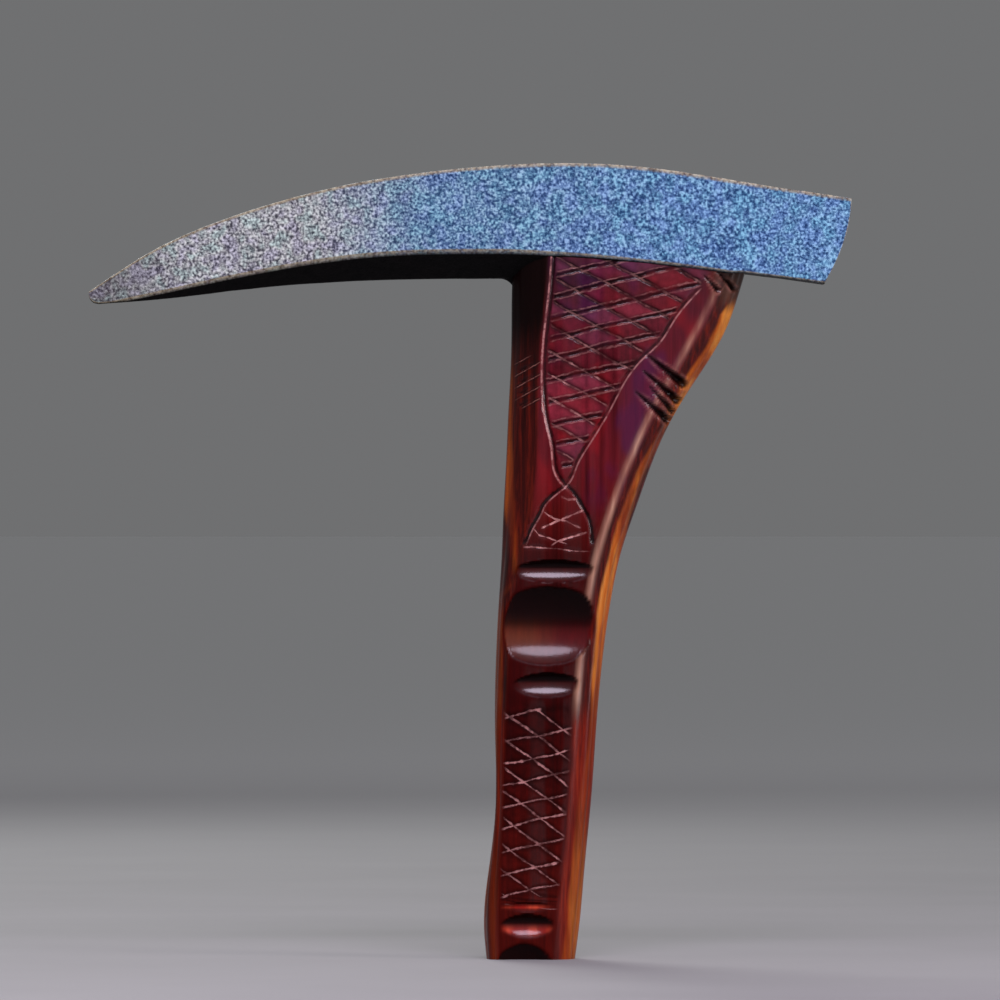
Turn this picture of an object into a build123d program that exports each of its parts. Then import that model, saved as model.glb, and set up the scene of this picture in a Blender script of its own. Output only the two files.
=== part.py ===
from build123d import *

# Ice axe: a forged head hafted on a carved hardwood handle and held by wedges.
#
# Millimetres. The handle stands along +Z with its sawn butt on Z = 0, the pick points along -X,
# the hammer poll along +X, and Y = 0 is the plane of symmetry. The front faces -Y, and the back is
# carved the same.

import os
from math import ceil, radians, sqrt, tan

os.makedirs("parts", exist_ok=True)

# ---- head ----
HEAD_HALF = 12.5  # half the head's thickness across the eye
TOP_EDGE = (
    (-155.0, 234.3),
    (-134.0, 247.8),
    (-105.5, 260.3),
    (-77.5, 268.7),
    (-42.5, 275.2),
    (3.0, 279.0),
    (30.0, 278.6),
    (73.0, 272.8),
    (112.2, 266.9),
)
KEEL_EDGE = ((-152.0, 229.8), (-134.0, 231.1), (-103.4, 234.6), (-62.5, 237.8), (-20.0, 238.7))
TIP_MIDDLE = (-154.7, 231.4)  # the rounded point, between the two edges
POLL_LOW, POLL_MIDDLE = (102.9, 236.8), (109.6, 251.4)  # the poll's face is slightly crowned
KEEL_HALF = 2.0  # half the width of the lug; the keel is a little wider
KEEL_BACK = (74.0, 240.6)  # the keel's bevels run out here, behind the handle
# The bevels under the pick rise from one edge near the keel to one outside the cheeks, and run
# out below the underside behind the handle.
BEVEL_OUTSIDE = 14.5
BEVEL_LOW_EDGE = (
    (-165.0, 228.4),
    (-134.0, 230.6),
    (-103.4, 234.1),
    (-62.5, 237.3),
    (-20.0, 238.1),
    (17.7, 238.4),
    (78.0, 239.0),
)
BEVEL_HIGH_EDGE = (
    (-165.0, 245.1),
    (-134.0, 246.8),
    (-103.4, 249.5),
    (-62.5, 251.7),
    (-20.0, 250.6),
    (17.7, 248.2),
    (35.5, 246.2),
    (57.9, 243.0),
    (78.0, 239.4),
)
# The lug under the pick, let into the handle's front edge.
LUG_FRONT, LUG_BACK, LUG_LOW = -6.8, 4.0, 229.4
LUG_TOP = 238.7
LUG_FILLET = 5.0
# Half thickness along the pick, from its point; the poll narrows a little too.
PICK_TAPER = ((-155.5, 1.6), (-131.0, 4.1), (-98.0, 6.9), (-55.0, 10.4), (-8.0, HEAD_HALF))
POLL_TAPER_X, POLL_END_X, POLL_HALF = 76.0, 118.0, 11.0

# ---- eye, tenon and wedges ----
EYE_X = 30.0  # centre of the eye along the head
EYE_LOW_Z, EYE_HIGH_Z = 228.0, 284.0  # the eye's cutter runs past both openings
EYE_LOW = (21.6, 6.6)  # half length and half width of the oval at the low end
EYE_HIGH = (24.4, 8.2)  # the eye flares upwards, so a wedged tenon can't pull out
TENON_GAP = 0.05  # clearance of the tenon all round
TENON_RECESS = 0.6  # the tenon's end sits this far below the head's top
WEDGE_TOP, WEDGE_TIP, WEDGE_LOW = 5.0, 1.2, 247.0  # thicknesses, and the height of its tip
CROSS_TOP, CROSS_TIP, CROSS_LOW = 3.2, 0.6, 258.0
CROSS_WIDTH = 11.4
CROSS_OFFSET = 12.0  # each steel wedge's distance from the eye's centre
BLADE_TOP = 284.0  # blades are drawn up to here, then trimmed with the tenon

# ---- handle ----
HANDLE_HALF = 11.5  # half the handle's thickness: the head stands 1 mm proud of it
SIDE_LAND = 3.0  # the sides are flat this far either side of the middle
SHOULDER_BULGE = 0.16  # how far a shoulder swells out of its chord, as a part of the chord
# The edges, from the butt up: height, left side, left crease, right crease, right side.
HANDLE_ROWS = (
    (0, -15.6, -11.6, 8.4, 15.4),
    (9, -16.5, -11.8, 9.4, 16.7),
    (33, -14.5, -11.4, 11.8, 18.9),
    (58, -12.3, -10.4, 13.9, 21.3),
    (78, -12.6, -9.9, 15.2, 22.7),
    (97, -12.6, -8.6, 16.6, 24.3),
    (126, -11.3, -6.6, 19.9, 28.0),
    (141, -10.3, -3.6, 22.9, 31.1),
    (159, -9.5, 0.2, 28.4, 37.1),
    (180, -8.5, 2.0, 36.6, 44.9),
    (200, -7.5, 2.3, 46.6, 55.8),
    (220, -6.9, 3.4, 57.6, 68.1),
    (232, -6.8, 4.6, 63.6, 72.6),
    (252, -6.8, 6.0, 69.5, 78.0),
)

# ---- carving ----
# Scoops: X, Z, half length across the face, half width along the handle, and depth.
SCOOPS = (
    (5.9, 116.9, 23.0, 13.7, 5.0),
    (7.9, 136.1, 16.5, 3.9, 2.4),
    (6.2, 96.2, 13.0, 4.3, 2.4),
    (-1.3, 11.8, 10.0, 4.2, 2.2),
    (-2.8, -7.9, 13.0, 13.7, 4.3),
)
GROOVE_WIDTH, GROOVE_DEPTH = 1.4, 0.7
BORDER_WIDTH, BORDER_DEPTH = 2.0, 1.0
NOTCH_WIDTH, NOTCH_DEPTH, NOTCH_FALL = 2.8, 2.2, 5.5
OVERSHOOT = 1.0  # how far a cutter reaches out of the surface

# The upper panel narrows to a point, and a small bell hangs below the point.
PANEL_LEFT = ((8.0, 246.0), (6.6, 229.0), (4.7, 207.0), (6.4, 184.0), (11.6, 166.2))
PANEL_RIGHT = ((11.6, 166.2), (17.0, 175.5), (28.0, 194.0), (42.0, 212.0), (56.7, 233.1))
BELL_LEFT = ((11.2, 166.2), (5.0, 161.4), (0.6, 152.6), (-2.4, 145.0))
BELL_RIGHT = ((14.7, 163.4), (19.2, 156.4), (21.4, 144.0))
LOWER_PANEL = ((-10.0, 89.0), (14.2, 89.0), (13.0, 57.0), (9.6, 19.4), (-11.0, 19.4), (-10.4, 57.0))
UPPER_CENTRE, LOWER_CENTRE = (31.0, 206.0), (1.0, 54.0)
UPPER_REACH, LOWER_REACH = (30.0, 40.0), (14.0, 35.0)  # half sizes that cover each panel
# Each family of cuts: slope in degrees, spacing up the handle, and the height of one cut at X = 0.
UPPER_CUTS = ((-28.0, 8.6, 217.1), (13.0, 7.3, 208.4))
LOWER_CUTS = ((-34.0, 9.2, 51.6), (12.0, 7.85, 55.2))

# Notches over the shoulders, each from its X, Z on the face to its X, Z at the side.
NOTCHES = (
    ((40.8, 211.6), (53.2, 201.6)),
    ((39.4, 206.0), (51.6, 195.6)),
    ((41.6, 200.6), (51.4, 190.2)),
    ((36.6, 198.8), (48.4, 188.6)),
    ((60.0, 240.2), (73.0, 228.4)),
    ((64.4, 243.6), (76.0, 233.0)),
    ((2.4, 209.4), (-8.0, 203.6)),
    ((2.2, 205.0), (-8.0, 199.4)),
    ((2.0, 200.8), (-8.4, 195.2)),
    ((2.0, 196.6), (-8.6, 191.0)),
)


# ---- head ----
def pick_and_poll():
    """The head's side view, as thick as its plan allows."""
    with BuildPart() as block:
        with BuildSketch(Plane.XZ.offset(-HEAD_HALF)):
            with BuildLine():
                top = Spline(*TOP_EDGE)
                keel = Spline(*KEEL_EDGE)
                ThreePointArc(top @ 0, TIP_MIDDLE, keel @ 0)
                ThreePointArc(top @ 1, POLL_MIDDLE, POLL_LOW)
                Line(POLL_LOW, KEEL_BACK)
                Line(KEEL_BACK, (LUG_BACK, LUG_TOP))
                Line((LUG_BACK, LUG_TOP), (LUG_BACK, LUG_LOW))
                Line((LUG_BACK, LUG_LOW), (LUG_FRONT, LUG_LOW))
                Line((LUG_FRONT, LUG_LOW), (LUG_FRONT, LUG_TOP - LUG_FILLET))
                neck = (LUG_FRONT - LUG_FILLET, LUG_TOP)
                RadiusArc((LUG_FRONT, LUG_TOP - LUG_FILLET), neck, -LUG_FILLET)
                Line(neck, keel @ 1)
            make_face()
        extrude(amount=2 * HEAD_HALF)
        with BuildSketch(Plane.XY.offset(LUG_LOW - 10)):
            with BuildLine():
                taper = Spline(*PICK_TAPER)
                Line(taper @ 1, (POLL_TAPER_X, HEAD_HALF))
                Line((POLL_TAPER_X, HEAD_HALF), (POLL_END_X, POLL_HALF))
                Line((POLL_END_X, POLL_HALF), (POLL_END_X, 0))
                Line((POLL_END_X, 0), (PICK_TAPER[0][0], 0))
                Line((PICK_TAPER[0][0], 0), taper @ 0)
            make_face()
            mirror(about=Plane.XZ)
        extrude(amount=100.0, mode=Mode.INTERSECT)
    return block.part


def bevel_cutter():
    """What is taken off under the front cheek."""
    low = LUG_LOW - 30
    with BuildPart() as cutter:
        for offset, edge in ((KEEL_HALF, BEVEL_LOW_EDGE), (BEVEL_OUTSIDE, BEVEL_HIGH_EDGE)):
            with BuildSketch(Plane.XZ.offset(offset)):
                with BuildLine():
                    Spline(*edge)
                    Polyline(edge[-1], (edge[-1][0], low), (edge[0][0], low), edge[0])
                make_face()
        loft(ruled=True)
    return cutter.part


def oval_taper(shrink):
    """The eye's tapered oval, smaller by shrink all round."""
    with BuildPart() as oval:
        for height, (half_x, half_y) in ((EYE_LOW_Z, EYE_LOW), (EYE_HIGH_Z, EYE_HIGH)):
            with BuildSketch(Plane.XY.offset(height)):
                with Locations((EYE_X, 0)):
                    Ellipse(half_x - shrink, half_y - shrink)
        loft()
    return oval.part


with BuildPart() as solid_head:  # before the eye is cut
    add(pick_and_poll())
    under_front = bevel_cutter()
    add(under_front, mode=Mode.SUBTRACT)
    add(under_front.mirror(Plane.XZ), mode=Mode.SUBTRACT)

with BuildPart() as head:
    add(solid_head.part)
    add(oval_taper(0), mode=Mode.SUBTRACT)
head.part.label = "head"


# ---- wedges ----
def blade(plane, low, top_thick, tip_thick, width):
    """A wedge from low up to BLADE_TOP, tapered along plane's x, width wide through the plane."""
    with BuildPart() as wedge:
        with BuildSketch(plane):
            with BuildLine():
                Polyline(
                    (-tip_thick / 2, low),
                    (tip_thick / 2, low),
                    (top_thick / 2, BLADE_TOP),
                    (-top_thick / 2, BLADE_TOP),
                    close=True,
                )
            make_face()
        extrude(amount=width / 2, both=True)
    return wedge.part


with BuildPart() as tenon:  # before its kerfs are cut
    add(oval_taper(TENON_GAP))
    add(solid_head.part.moved(Location((0, 0, -TENON_RECESS))), mode=Mode.INTERSECT)

across_eye = Plane(origin=(EYE_X, 0, 0), x_dir=(0, 1, 0), z_dir=(1, 0, 0))
long_blade = blade(across_eye, WEDGE_LOW, WEDGE_TOP, WEDGE_TIP, 4 * EYE_HIGH[0])
cross_blades = []
for side in (-1, 1):
    along_eye = Plane(origin=(EYE_X + side * CROSS_OFFSET, 0, 0), x_dir=(1, 0, 0), z_dir=(0, -1, 0))
    cross_blades.append(blade(along_eye, CROSS_LOW, CROSS_TOP, CROSS_TIP, CROSS_WIDTH))

with BuildPart() as cross_wedge_pick_side:
    add(cross_blades[0])
    add(tenon.part, mode=Mode.INTERSECT)
cross_wedge_pick_side.part.label = "cross_wedge_pick_side"

with BuildPart() as cross_wedge_poll_side:
    add(cross_blades[1])
    add(tenon.part, mode=Mode.INTERSECT)
cross_wedge_poll_side.part.label = "cross_wedge_poll_side"

with BuildPart() as wooden_wedge:
    add(long_blade)
    add(tenon.part, mode=Mode.INTERSECT)
    for cross_blade in cross_blades:
        add(cross_blade, mode=Mode.SUBTRACT)
wooden_wedge.part.label = "wooden_wedge"


# ---- handle ----
def shoulder(crease_x, side_x, up):
    """The middle point of the swelling arc between a crease and the side's land."""
    crease = Vector(crease_x, up * HANDLE_HALF)
    side = Vector(side_x, up * SIDE_LAND)
    chord = side - crease
    out = Vector(-chord.Y, chord.X)
    if out.Y * up < 0:
        out = -out
    return (crease + side) / 2 + out * SHOULDER_BULGE


def grip_body():
    """The handle's uncarved body, lofted through its rows."""
    with BuildPart() as body:
        for height, left, left_crease, right_crease, right in HANDLE_ROWS:
            with BuildSketch(Plane.XY.offset(height)):
                with BuildLine():
                    Line((left_crease, -HANDLE_HALF), (right_crease, -HANDLE_HALF))
                    middle = shoulder(right_crease, right, -1)
                    ThreePointArc((right_crease, -HANDLE_HALF), middle, (right, -SIDE_LAND))
                    Line((right, -SIDE_LAND), (right, SIDE_LAND))
                    middle = shoulder(right_crease, right, 1)
                    ThreePointArc((right, SIDE_LAND), middle, (right_crease, HANDLE_HALF))
                    Line((right_crease, HANDLE_HALF), (left_crease, HANDLE_HALF))
                    middle = shoulder(left_crease, left, 1)
                    ThreePointArc((left_crease, HANDLE_HALF), middle, (left, SIDE_LAND))
                    Line((left, SIDE_LAND), (left, -SIDE_LAND))
                    middle = shoulder(left_crease, left, -1)
                    ThreePointArc((left, -SIDE_LAND), middle, (left_crease, -HANDLE_HALF))
                make_face()
        loft()
    return body.part


def scoop(x, z, half_length, half_width, depth):
    """A lens-shaped cutter: an arc turned about an axis that lies across the front face."""
    outside = (half_width**2 - depth**2) / (2 * depth)
    bow = (half_length**2 + depth**2) / (2 * depth)
    end_x = half_length + OVERSHOOT
    end_y = depth - HANDLE_HALF - bow + sqrt(bow**2 - end_x**2)
    axis_y = -HANDLE_HALF - outside
    with BuildPart() as cutter:
        with BuildSketch(Plane.XY.offset(z)):
            with BuildLine():
                ends = ((x - end_x, end_y), (x + end_x, end_y))
                ThreePointArc(ends[0], (x, depth - HANDLE_HALF), ends[1])
                Polyline(ends[1], (x + end_x, axis_y), (x - end_x, axis_y), ends[0])
            make_face()
        revolve(axis=Axis((x, axis_y, z), (1, 0, 0)))
    return cutter.part


def v_cutter(start, end, width, depth):
    """A V-shaped cutter whose bottom edge runs from start to end and whose mouth faces -Y."""
    start, end = Vector(*start), Vector(*end)
    along = end - start
    plane = Plane(origin=start, x_dir=along.cross(Vector(0, 1, 0)), z_dir=along)
    out = -1 if plane.y_dir.Y > 0 else 1
    reach = depth + OVERSHOOT
    half = width / 2 * reach / depth
    with BuildPart() as cutter:
        with BuildSketch(plane):
            with BuildLine():
                Polyline((0, 0), (-half, out * reach), (half, out * reach), close=True)
            make_face()
        extrude(amount=along.length)
    return cutter.part


def checkering(panel, centre, reach, cuts):
    """Crossing V cuts on the front face, kept inside panel."""
    bottom_y = GROOVE_DEPTH - HANDLE_HALF
    left, right = centre[0] - reach[0], centre[0] + reach[0]
    with BuildPart() as pattern:
        for slope, spacing, phase in cuts:
            rise = tan(radians(slope))
            low = centre[1] - reach[1] - max(left * rise, right * rise)
            high = centre[1] + reach[1] - min(left * rise, right * rise)
            level = phase + spacing * ceil((low - phase) / spacing)
            while level < high:
                start = (left, bottom_y, level + left * rise)
                end = (right, bottom_y, level + right * rise)
                add(v_cutter(start, end, GROOVE_WIDTH, GROOVE_DEPTH))
                level += spacing
        add(panel, mode=Mode.INTERSECT)
    return pattern.part


def upper_panel():
    with BuildPart() as panel:
        with BuildSketch(Plane.XZ):
            with BuildLine():
                left = Spline(*PANEL_LEFT)
                right = Spline(*PANEL_RIGHT)
                Polyline(right @ 1, (60.0, 252.0), (8.0, 252.0), left @ 0)
            make_face()
        extrude(amount=2 * HANDLE_HALF)
    return panel.part


def lower_panel():
    with BuildPart() as panel:
        with BuildSketch(Plane.XZ):
            Polygon(*LOWER_PANEL, align=None)
        extrude(amount=2 * HANDLE_HALF)
    return panel.part


def border(points):
    """A V groove on the front face along a smooth curve through points."""
    with BuildPart() as groove:
        with BuildLine(Plane.XZ.offset(HANDLE_HALF - BORDER_DEPTH)) as path:
            Spline(*points)
        curve = path.line.edges()[0]
        along = curve % 0
        plane = Plane(origin=curve @ 0, x_dir=along.cross(Vector(0, 1, 0)), z_dir=along)
        out = -1 if plane.y_dir.Y > 0 else 1
        reach = BORDER_DEPTH + OVERSHOOT
        half = BORDER_WIDTH / 2 * reach / BORDER_DEPTH
        with BuildSketch(plane):
            with BuildLine():
                Polyline((0, 0), (-half, out * reach), (half, out * reach), close=True)
            make_face()
        sweep(path=path.line)
    return groove.part


front_cuts = [scoop(*row) for row in SCOOPS]
front_cuts.append(checkering(upper_panel(), UPPER_CENTRE, UPPER_REACH, UPPER_CUTS))
front_cuts.append(checkering(lower_panel(), LOWER_CENTRE, LOWER_REACH, LOWER_CUTS))
for outline in (PANEL_LEFT, PANEL_RIGHT, BELL_LEFT, BELL_RIGHT):
    front_cuts.append(border(outline))
for (face_x, face_z), (side_x, side_z) in NOTCHES:
    top_y = 0.4 - HANDLE_HALF
    start, end = (face_x, top_y, face_z), (side_x, top_y + NOTCH_FALL, side_z)
    front_cuts.append(v_cutter(start, end, NOTCH_WIDTH, NOTCH_DEPTH))

with BuildPart() as handle:
    add(grip_body())
    for cut in front_cuts:
        add(cut, mode=Mode.SUBTRACT)
        add(cut.mirror(Plane.XZ), mode=Mode.SUBTRACT)
    add(solid_head.part, mode=Mode.SUBTRACT)
    add(tenon.part)
    add(long_blade, mode=Mode.SUBTRACT)
    for cross_blade in cross_blades:
        add(cross_blade, mode=Mode.SUBTRACT)
handle.part.label = "handle"

for part in (head, handle, wooden_wedge, cross_wedge_pick_side, cross_wedge_poll_side):
    p = part.part
    print(p.label, round(p.volume), p.is_valid, len(p.solids()), len(p.faces()), p.bounding_box())

export_step(head.part, "parts/head.step")
export_step(handle.part, "parts/handle.step")
export_step(wooden_wedge.part, "parts/wooden_wedge.step")
export_step(cross_wedge_pick_side.part, "parts/cross_wedge_pick_side.step")
export_step(cross_wedge_poll_side.part, "parts/cross_wedge_poll_side.step")
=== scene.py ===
"""The ice axe's looks: a speckled forged head on a carved and lacquered hardwood handle.

The CAD model is the frame. The head and the handle are modelled again here, finely, in the places
where the CAD has them; the three wedges keep their CAD shapes. Shapes are in millimetres until
add_mesh turns them into metres. Materials are in metres, apart from the distances that a mesh
carries as attributes.
"""

import math

import bmesh
import bpy
import numpy as np
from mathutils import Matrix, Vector, noise


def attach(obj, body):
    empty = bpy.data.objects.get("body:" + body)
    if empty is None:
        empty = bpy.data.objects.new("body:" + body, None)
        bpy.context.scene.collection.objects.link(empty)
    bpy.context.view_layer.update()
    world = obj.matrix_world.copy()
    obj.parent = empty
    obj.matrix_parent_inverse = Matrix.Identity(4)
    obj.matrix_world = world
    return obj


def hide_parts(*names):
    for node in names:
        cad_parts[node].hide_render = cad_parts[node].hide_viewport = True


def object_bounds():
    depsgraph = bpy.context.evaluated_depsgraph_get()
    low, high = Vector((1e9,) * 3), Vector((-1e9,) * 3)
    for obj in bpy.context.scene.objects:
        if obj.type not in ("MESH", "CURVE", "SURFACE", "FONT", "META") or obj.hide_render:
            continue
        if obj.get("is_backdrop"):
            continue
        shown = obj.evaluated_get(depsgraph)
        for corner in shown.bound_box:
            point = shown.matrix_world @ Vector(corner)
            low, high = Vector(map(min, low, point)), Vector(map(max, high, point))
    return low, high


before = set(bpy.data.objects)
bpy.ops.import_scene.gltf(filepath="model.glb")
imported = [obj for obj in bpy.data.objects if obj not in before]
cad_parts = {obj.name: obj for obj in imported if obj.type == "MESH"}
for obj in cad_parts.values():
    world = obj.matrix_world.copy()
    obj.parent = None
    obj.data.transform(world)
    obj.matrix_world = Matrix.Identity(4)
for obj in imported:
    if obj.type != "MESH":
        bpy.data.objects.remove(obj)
cad_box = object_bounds()
MM = 0.001
RNG = np.random.default_rng(7)

# ---------------------------------------------------------------- sizes shared with the CAD
HEAD_HALF, HANDLE_HALF, SIDE_LAND = 12.5, 11.5, 3.0
EYE_X, EYE_LOW_Z, EYE_HIGH_Z = 30.0, 228.0, 284.0
EYE_LOW, EYE_HIGH = (21.6, 6.6), (24.4, 8.2)  # half length and half width at those heights
TENON_GAP = 0.05
WEDGE_TOP, WEDGE_TIP, WEDGE_LOW, BLADE_TOP = 5.0, 1.2, 247.0, 284.0
LUG_FRONT, LUG_BACK, LUG_LOW, LUG_TOP, LUG_FILLET, LUG_HALF = -6.8, 4.0, 229.4, 238.7, 5.0, 2.0
KEEL_BACK = (74.0, 240.6)
POLL_LOW, POLL_TOP_X = (102.9, 236.8), 112.2

# Edges of the head from the front: X and Z.
TOP_EDGE = (
    (-155.0, 234.3), (-134.0, 247.8), (-105.5, 260.3), (-77.5, 268.7), (-42.5, 275.2), (3.0, 279.0),
    (30.0, 278.6), (73.0, 272.8), (112.2, 266.9),
)
TIP_CURVE = ((-155.2, 232.6), (-154.7, 231.2), (-153.6, 230.2), (-152.0, 229.8))
KEEL_EDGE = ((-152.0, 229.8), (-134.0, 231.1), (-103.4, 234.6), (-62.5, 237.8), (-20.0, 238.7))
# The bevelled underside: its height at the lug's side and at BEVEL_OUTSIDE from the middle.
BEVEL_OUTSIDE = 14.5
BEVEL_LOW_EDGE = (
    (-165.0, 228.4), (-134.0, 230.6), (-103.4, 234.1), (-62.5, 237.3), (-20.0, 238.1), (17.7, 238.4),
    (78.0, 239.0),
)
BEVEL_HIGH_EDGE = (
    (-165.0, 245.1), (-134.0, 246.8), (-103.4, 249.5), (-62.5, 251.7), (-20.0, 250.6), (17.7, 248.2),
    (35.5, 246.2), (57.9, 243.0), (78.0, 239.4),
)
# Half thickness of the head at X.
PICK_TAPER = ((-155.5, 1.6), (-131.0, 4.1), (-98.0, 6.9), (-55.0, 10.4), (-8.0, 12.5))
POLL_TAPER = ((76.0, 12.5), (118.0, 11.0))
# The handle at height Z: X of its left side, left crease, right crease and right side.
HANDLE_ROWS = (
    (0, -15.6, -11.6, 8.4, 15.4), (9, -16.5, -11.8, 9.4, 16.7), (33, -14.5, -11.4, 11.8, 18.9),
    (58, -12.3, -10.4, 13.9, 21.3), (78, -12.6, -9.9, 15.2, 22.7), (97, -12.6, -8.6, 16.6, 24.3),
    (126, -11.3, -6.6, 19.9, 28.0), (141, -10.3, -3.6, 22.9, 31.1), (159, -9.5, 0.2, 28.4, 37.1),
    (180, -8.5, 2.0, 36.6, 44.9), (200, -7.5, 2.3, 46.6, 55.8), (220, -6.9, 3.4, 57.6, 68.1),
    (232, -6.8, 4.6, 63.6, 72.6), (252, -6.8, 6.0, 69.5, 78.0),
)
# X, Z, half length, half width, depth, then, as shares of the half width above the middle: the
# deepest line, where the painted shade of the upper part ends and where the painted red glow
# sits; last, how strongly the glow is painted.
SCOOPS = (
    (5.9, 116.9, 23.0, 13.7, 5.0, 0.12, -0.06, -0.34, 0.85),
    (7.9, 136.1, 16.5, 3.9, 2.4, 0.40, 0.25, 0.0, 0.0),
    (6.2, 96.2, 13.0, 4.3, 2.4, 0.40, 0.25, 0.0, 0.0),
    (-1.3, 11.8, 10.0, 4.2, 2.2, 0.35, 0.10, -0.40, 0.75),
    (-2.8, -7.9, 13.0, 13.7, 4.3, 0.00, 0.00, 0.0, 0.0),
    (-1.0, 18.4, 9.0, 1.7, 0.6, 0.60, 0.90, 0.0, 0.9),
)


# ---------------------------------------------------------------- small helpers
def spline(points):
    """A natural cubic spline through (position, value) points, as a function of position."""
    t, v = np.array(points, float).T
    n, h = len(t), np.diff(t)
    a, b = np.eye(n), np.zeros(n)
    for i in range(1, n - 1):
        a[i, i - 1 : i + 2] = h[i - 1], 2 * (h[i - 1] + h[i]), h[i]
        b[i] = 6 * ((v[i + 1] - v[i]) / h[i] - (v[i] - v[i - 1]) / h[i - 1])
    m = np.linalg.solve(a, b)

    def at(x):
        x = np.clip(x, t[0], t[-1])
        i = np.clip(np.searchsorted(t, x) - 1, 0, n - 2)
        u, w, hi = t[i + 1] - x, x - t[i], h[i]
        cubic = (m[i] * u**3 + m[i + 1] * w**3) / (6 * hi)
        return cubic + (v[i] / hi - m[i] * hi / 6) * u + (v[i + 1] / hi - m[i + 1] * hi / 6) * w

    return at


def line(points):
    """Straight runs between (position, value) points, as a function of position."""
    t, v = np.array(points, float).T
    return lambda x: np.interp(x, t, v)


def step(low, high, x):
    """0 below low, 1 above high, and smooth between."""
    t = np.clip((x - low) / (high - low), 0, 1)
    return t * t * (3 - 2 * t)


def hump(x, width):
    """1 where x is 0, falling smoothly to nothing on both sides."""
    return np.exp(-((x / width) ** 2))


def groove(apart, half_width):
    """The rounded profile of a cut: 1 in its middle and 0 from half_width outwards."""
    return 0.5 + 0.5 * np.cos(math.pi * np.clip(apart / half_width, 0, 1))


def unit(vectors, guard=0.0):
    """Vectors brought to length 1; a small guard keeps empty ones from dividing by nothing."""
    return vectors / (np.linalg.norm(vectors, axis=-1, keepdims=True) + guard)


def noise_at(points, scale, seed):
    """Smooth noise from -1 to 1 at points in millimetres; scale is the size of its features."""
    k = 1.0 / scale
    shift = seed * 17.31
    flat = points.reshape(-1, 3)
    values = [noise.noise((x * k + shift, y * k + shift, z * k - shift)) for x, y, z in flat]
    return np.array(values).reshape(points.shape[:-1])


def grid_faces(rows, columns, start=0, closed=False):
    """Quads over a grid of points laid row by row."""
    i = np.arange(rows - 1)[:, None] * columns
    j = np.arange(columns if closed else columns - 1)[None, :]
    after = (j + 1) % columns
    quads = np.stack([i + j, i + after, i + columns + after, i + columns + j], axis=-1)
    return (quads.reshape(-1, 4) + start).tolist()


def turned(faces, turn=True):
    """The faces seen from their other side."""
    return [face[::-1] for face in faces] if turn else faces


def add_mesh(name, points, faces, attributes, sharp=None):
    """A closed mesh object from points in millimetres, with one float per point and attribute.

    Points that lie together are joined, faces with no area dropped, and all faces turned outwards.
    Edges bent by more than sharp degrees are shaded as edges.
    """
    mesh = bpy.data.meshes.new(name)
    mesh.from_pydata((points * MM).tolist(), [], faces)
    for key, values in attributes.items():
        mesh.attributes.new(key, "FLOAT", "POINT").data.foreach_set("value", values)
    mesh.polygons.foreach_set("use_smooth", [True] * len(mesh.polygons))
    mesh.update()
    piece = bpy.data.objects.new(name, mesh)
    bpy.context.scene.collection.objects.link(piece)
    if sharp is not None:
        mesh.set_sharp_from_angle(angle=math.radians(sharp))

    bm = bmesh.new()
    bm.from_mesh(mesh)
    bmesh.ops.remove_doubles(bm, verts=bm.verts, dist=1e-6)
    bmesh.ops.dissolve_degenerate(bm, edges=bm.edges, dist=1e-7)
    bmesh.ops.recalc_face_normals(bm, faces=bm.faces)
    open_edges = sum(not edge.is_manifold for edge in bm.edges)
    bm.to_mesh(mesh)
    bm.free()
    print(name, len(mesh.polygons), "faces,", open_edges, "open edges")
    return piece


# ---------------------------------------------------------------- the head
top_of, pick_keel, tip_curve = spline(TOP_EDGE), spline(KEEL_EDGE), line(TIP_CURVE)
keel_behind = line((KEEL_EDGE[-1], (LUG_BACK, LUG_TOP), KEEL_BACK, POLL_LOW))
bevel_low, bevel_high = spline(BEVEL_LOW_EDGE), spline(BEVEL_HIGH_EDGE)
pick_half, poll_half = spline(PICK_TAPER), line(POLL_TAPER)

# Columns of the half section: from the top's middle over the rim and down the cheek to the keel.
TOP_N, RIM_N, CHEEK_N, UNDER_N = 9, 3, 58, 20
CHEEK_START, CHEEK_END = TOP_N + RIM_N, TOP_N + RIM_N + CHEEK_N
# Sections along the head: close together at the tip, then a usual distance apart.
TIP_SECTIONS, EVEN_FROM, SECTION_GAP = (0.0, 0.12, 0.35, 0.7, 1.15, 1.7), -153.0, 0.62
EYE_TOP_AT, EYE_LOW_AT = 278.6, 240.4  # heights where the eye meets the top and the underside
CROWN = 0.25  # the top falls this far from its middle to its edges
RIM_ROUND = 0.4
EDGE_UP, EDGE_IN = 0.45, 0.35  # the worn lower edge: up the cheek, and in under it
POLL_BOW = 2.0  # the poll's face is bowed by this much down its height
FACE_SHRINK, FACE_PROUD = (1.0, 0.955, 0.965), (0.08, 0.0, 0.0)
EMPTY, NOWHERE = 1e-5, 1e3  # sizes that count as nothing, and a place outside the object


def keel_of(x):
    """Height of the underside along the middle, lug left out."""
    ahead = np.where(x < KEEL_EDGE[0][0], tip_curve(x), pick_keel(x))
    return np.where(x < KEEL_EDGE[-1][0], ahead, keel_behind(x))


def half_of(x):
    """Half thickness of the head."""
    return np.where(x < PICK_TAPER[-1][0], pick_half(x), poll_half(x))


def under_of(x, y):
    """Height of the underside at x and distance y from the middle, lug left out."""
    rise = (bevel_high(x) - bevel_low(x)) * (np.abs(y) - LUG_HALF) / (BEVEL_OUTSIDE - LUG_HALF)
    bevel = np.where(x < BEVEL_LOW_EDGE[-1][0], bevel_low(x) + rise, 0.0)
    return np.maximum(keel_of(x), bevel)


def eye_half_sizes(z):
    """Half length and half width of the eye's oval at height z."""
    t = (z - EYE_LOW_Z) / (EYE_HIGH_Z - EYE_LOW_Z)
    return tuple(low + t * (high - low) for low, high in zip(EYE_LOW, EYE_HIGH))


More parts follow.
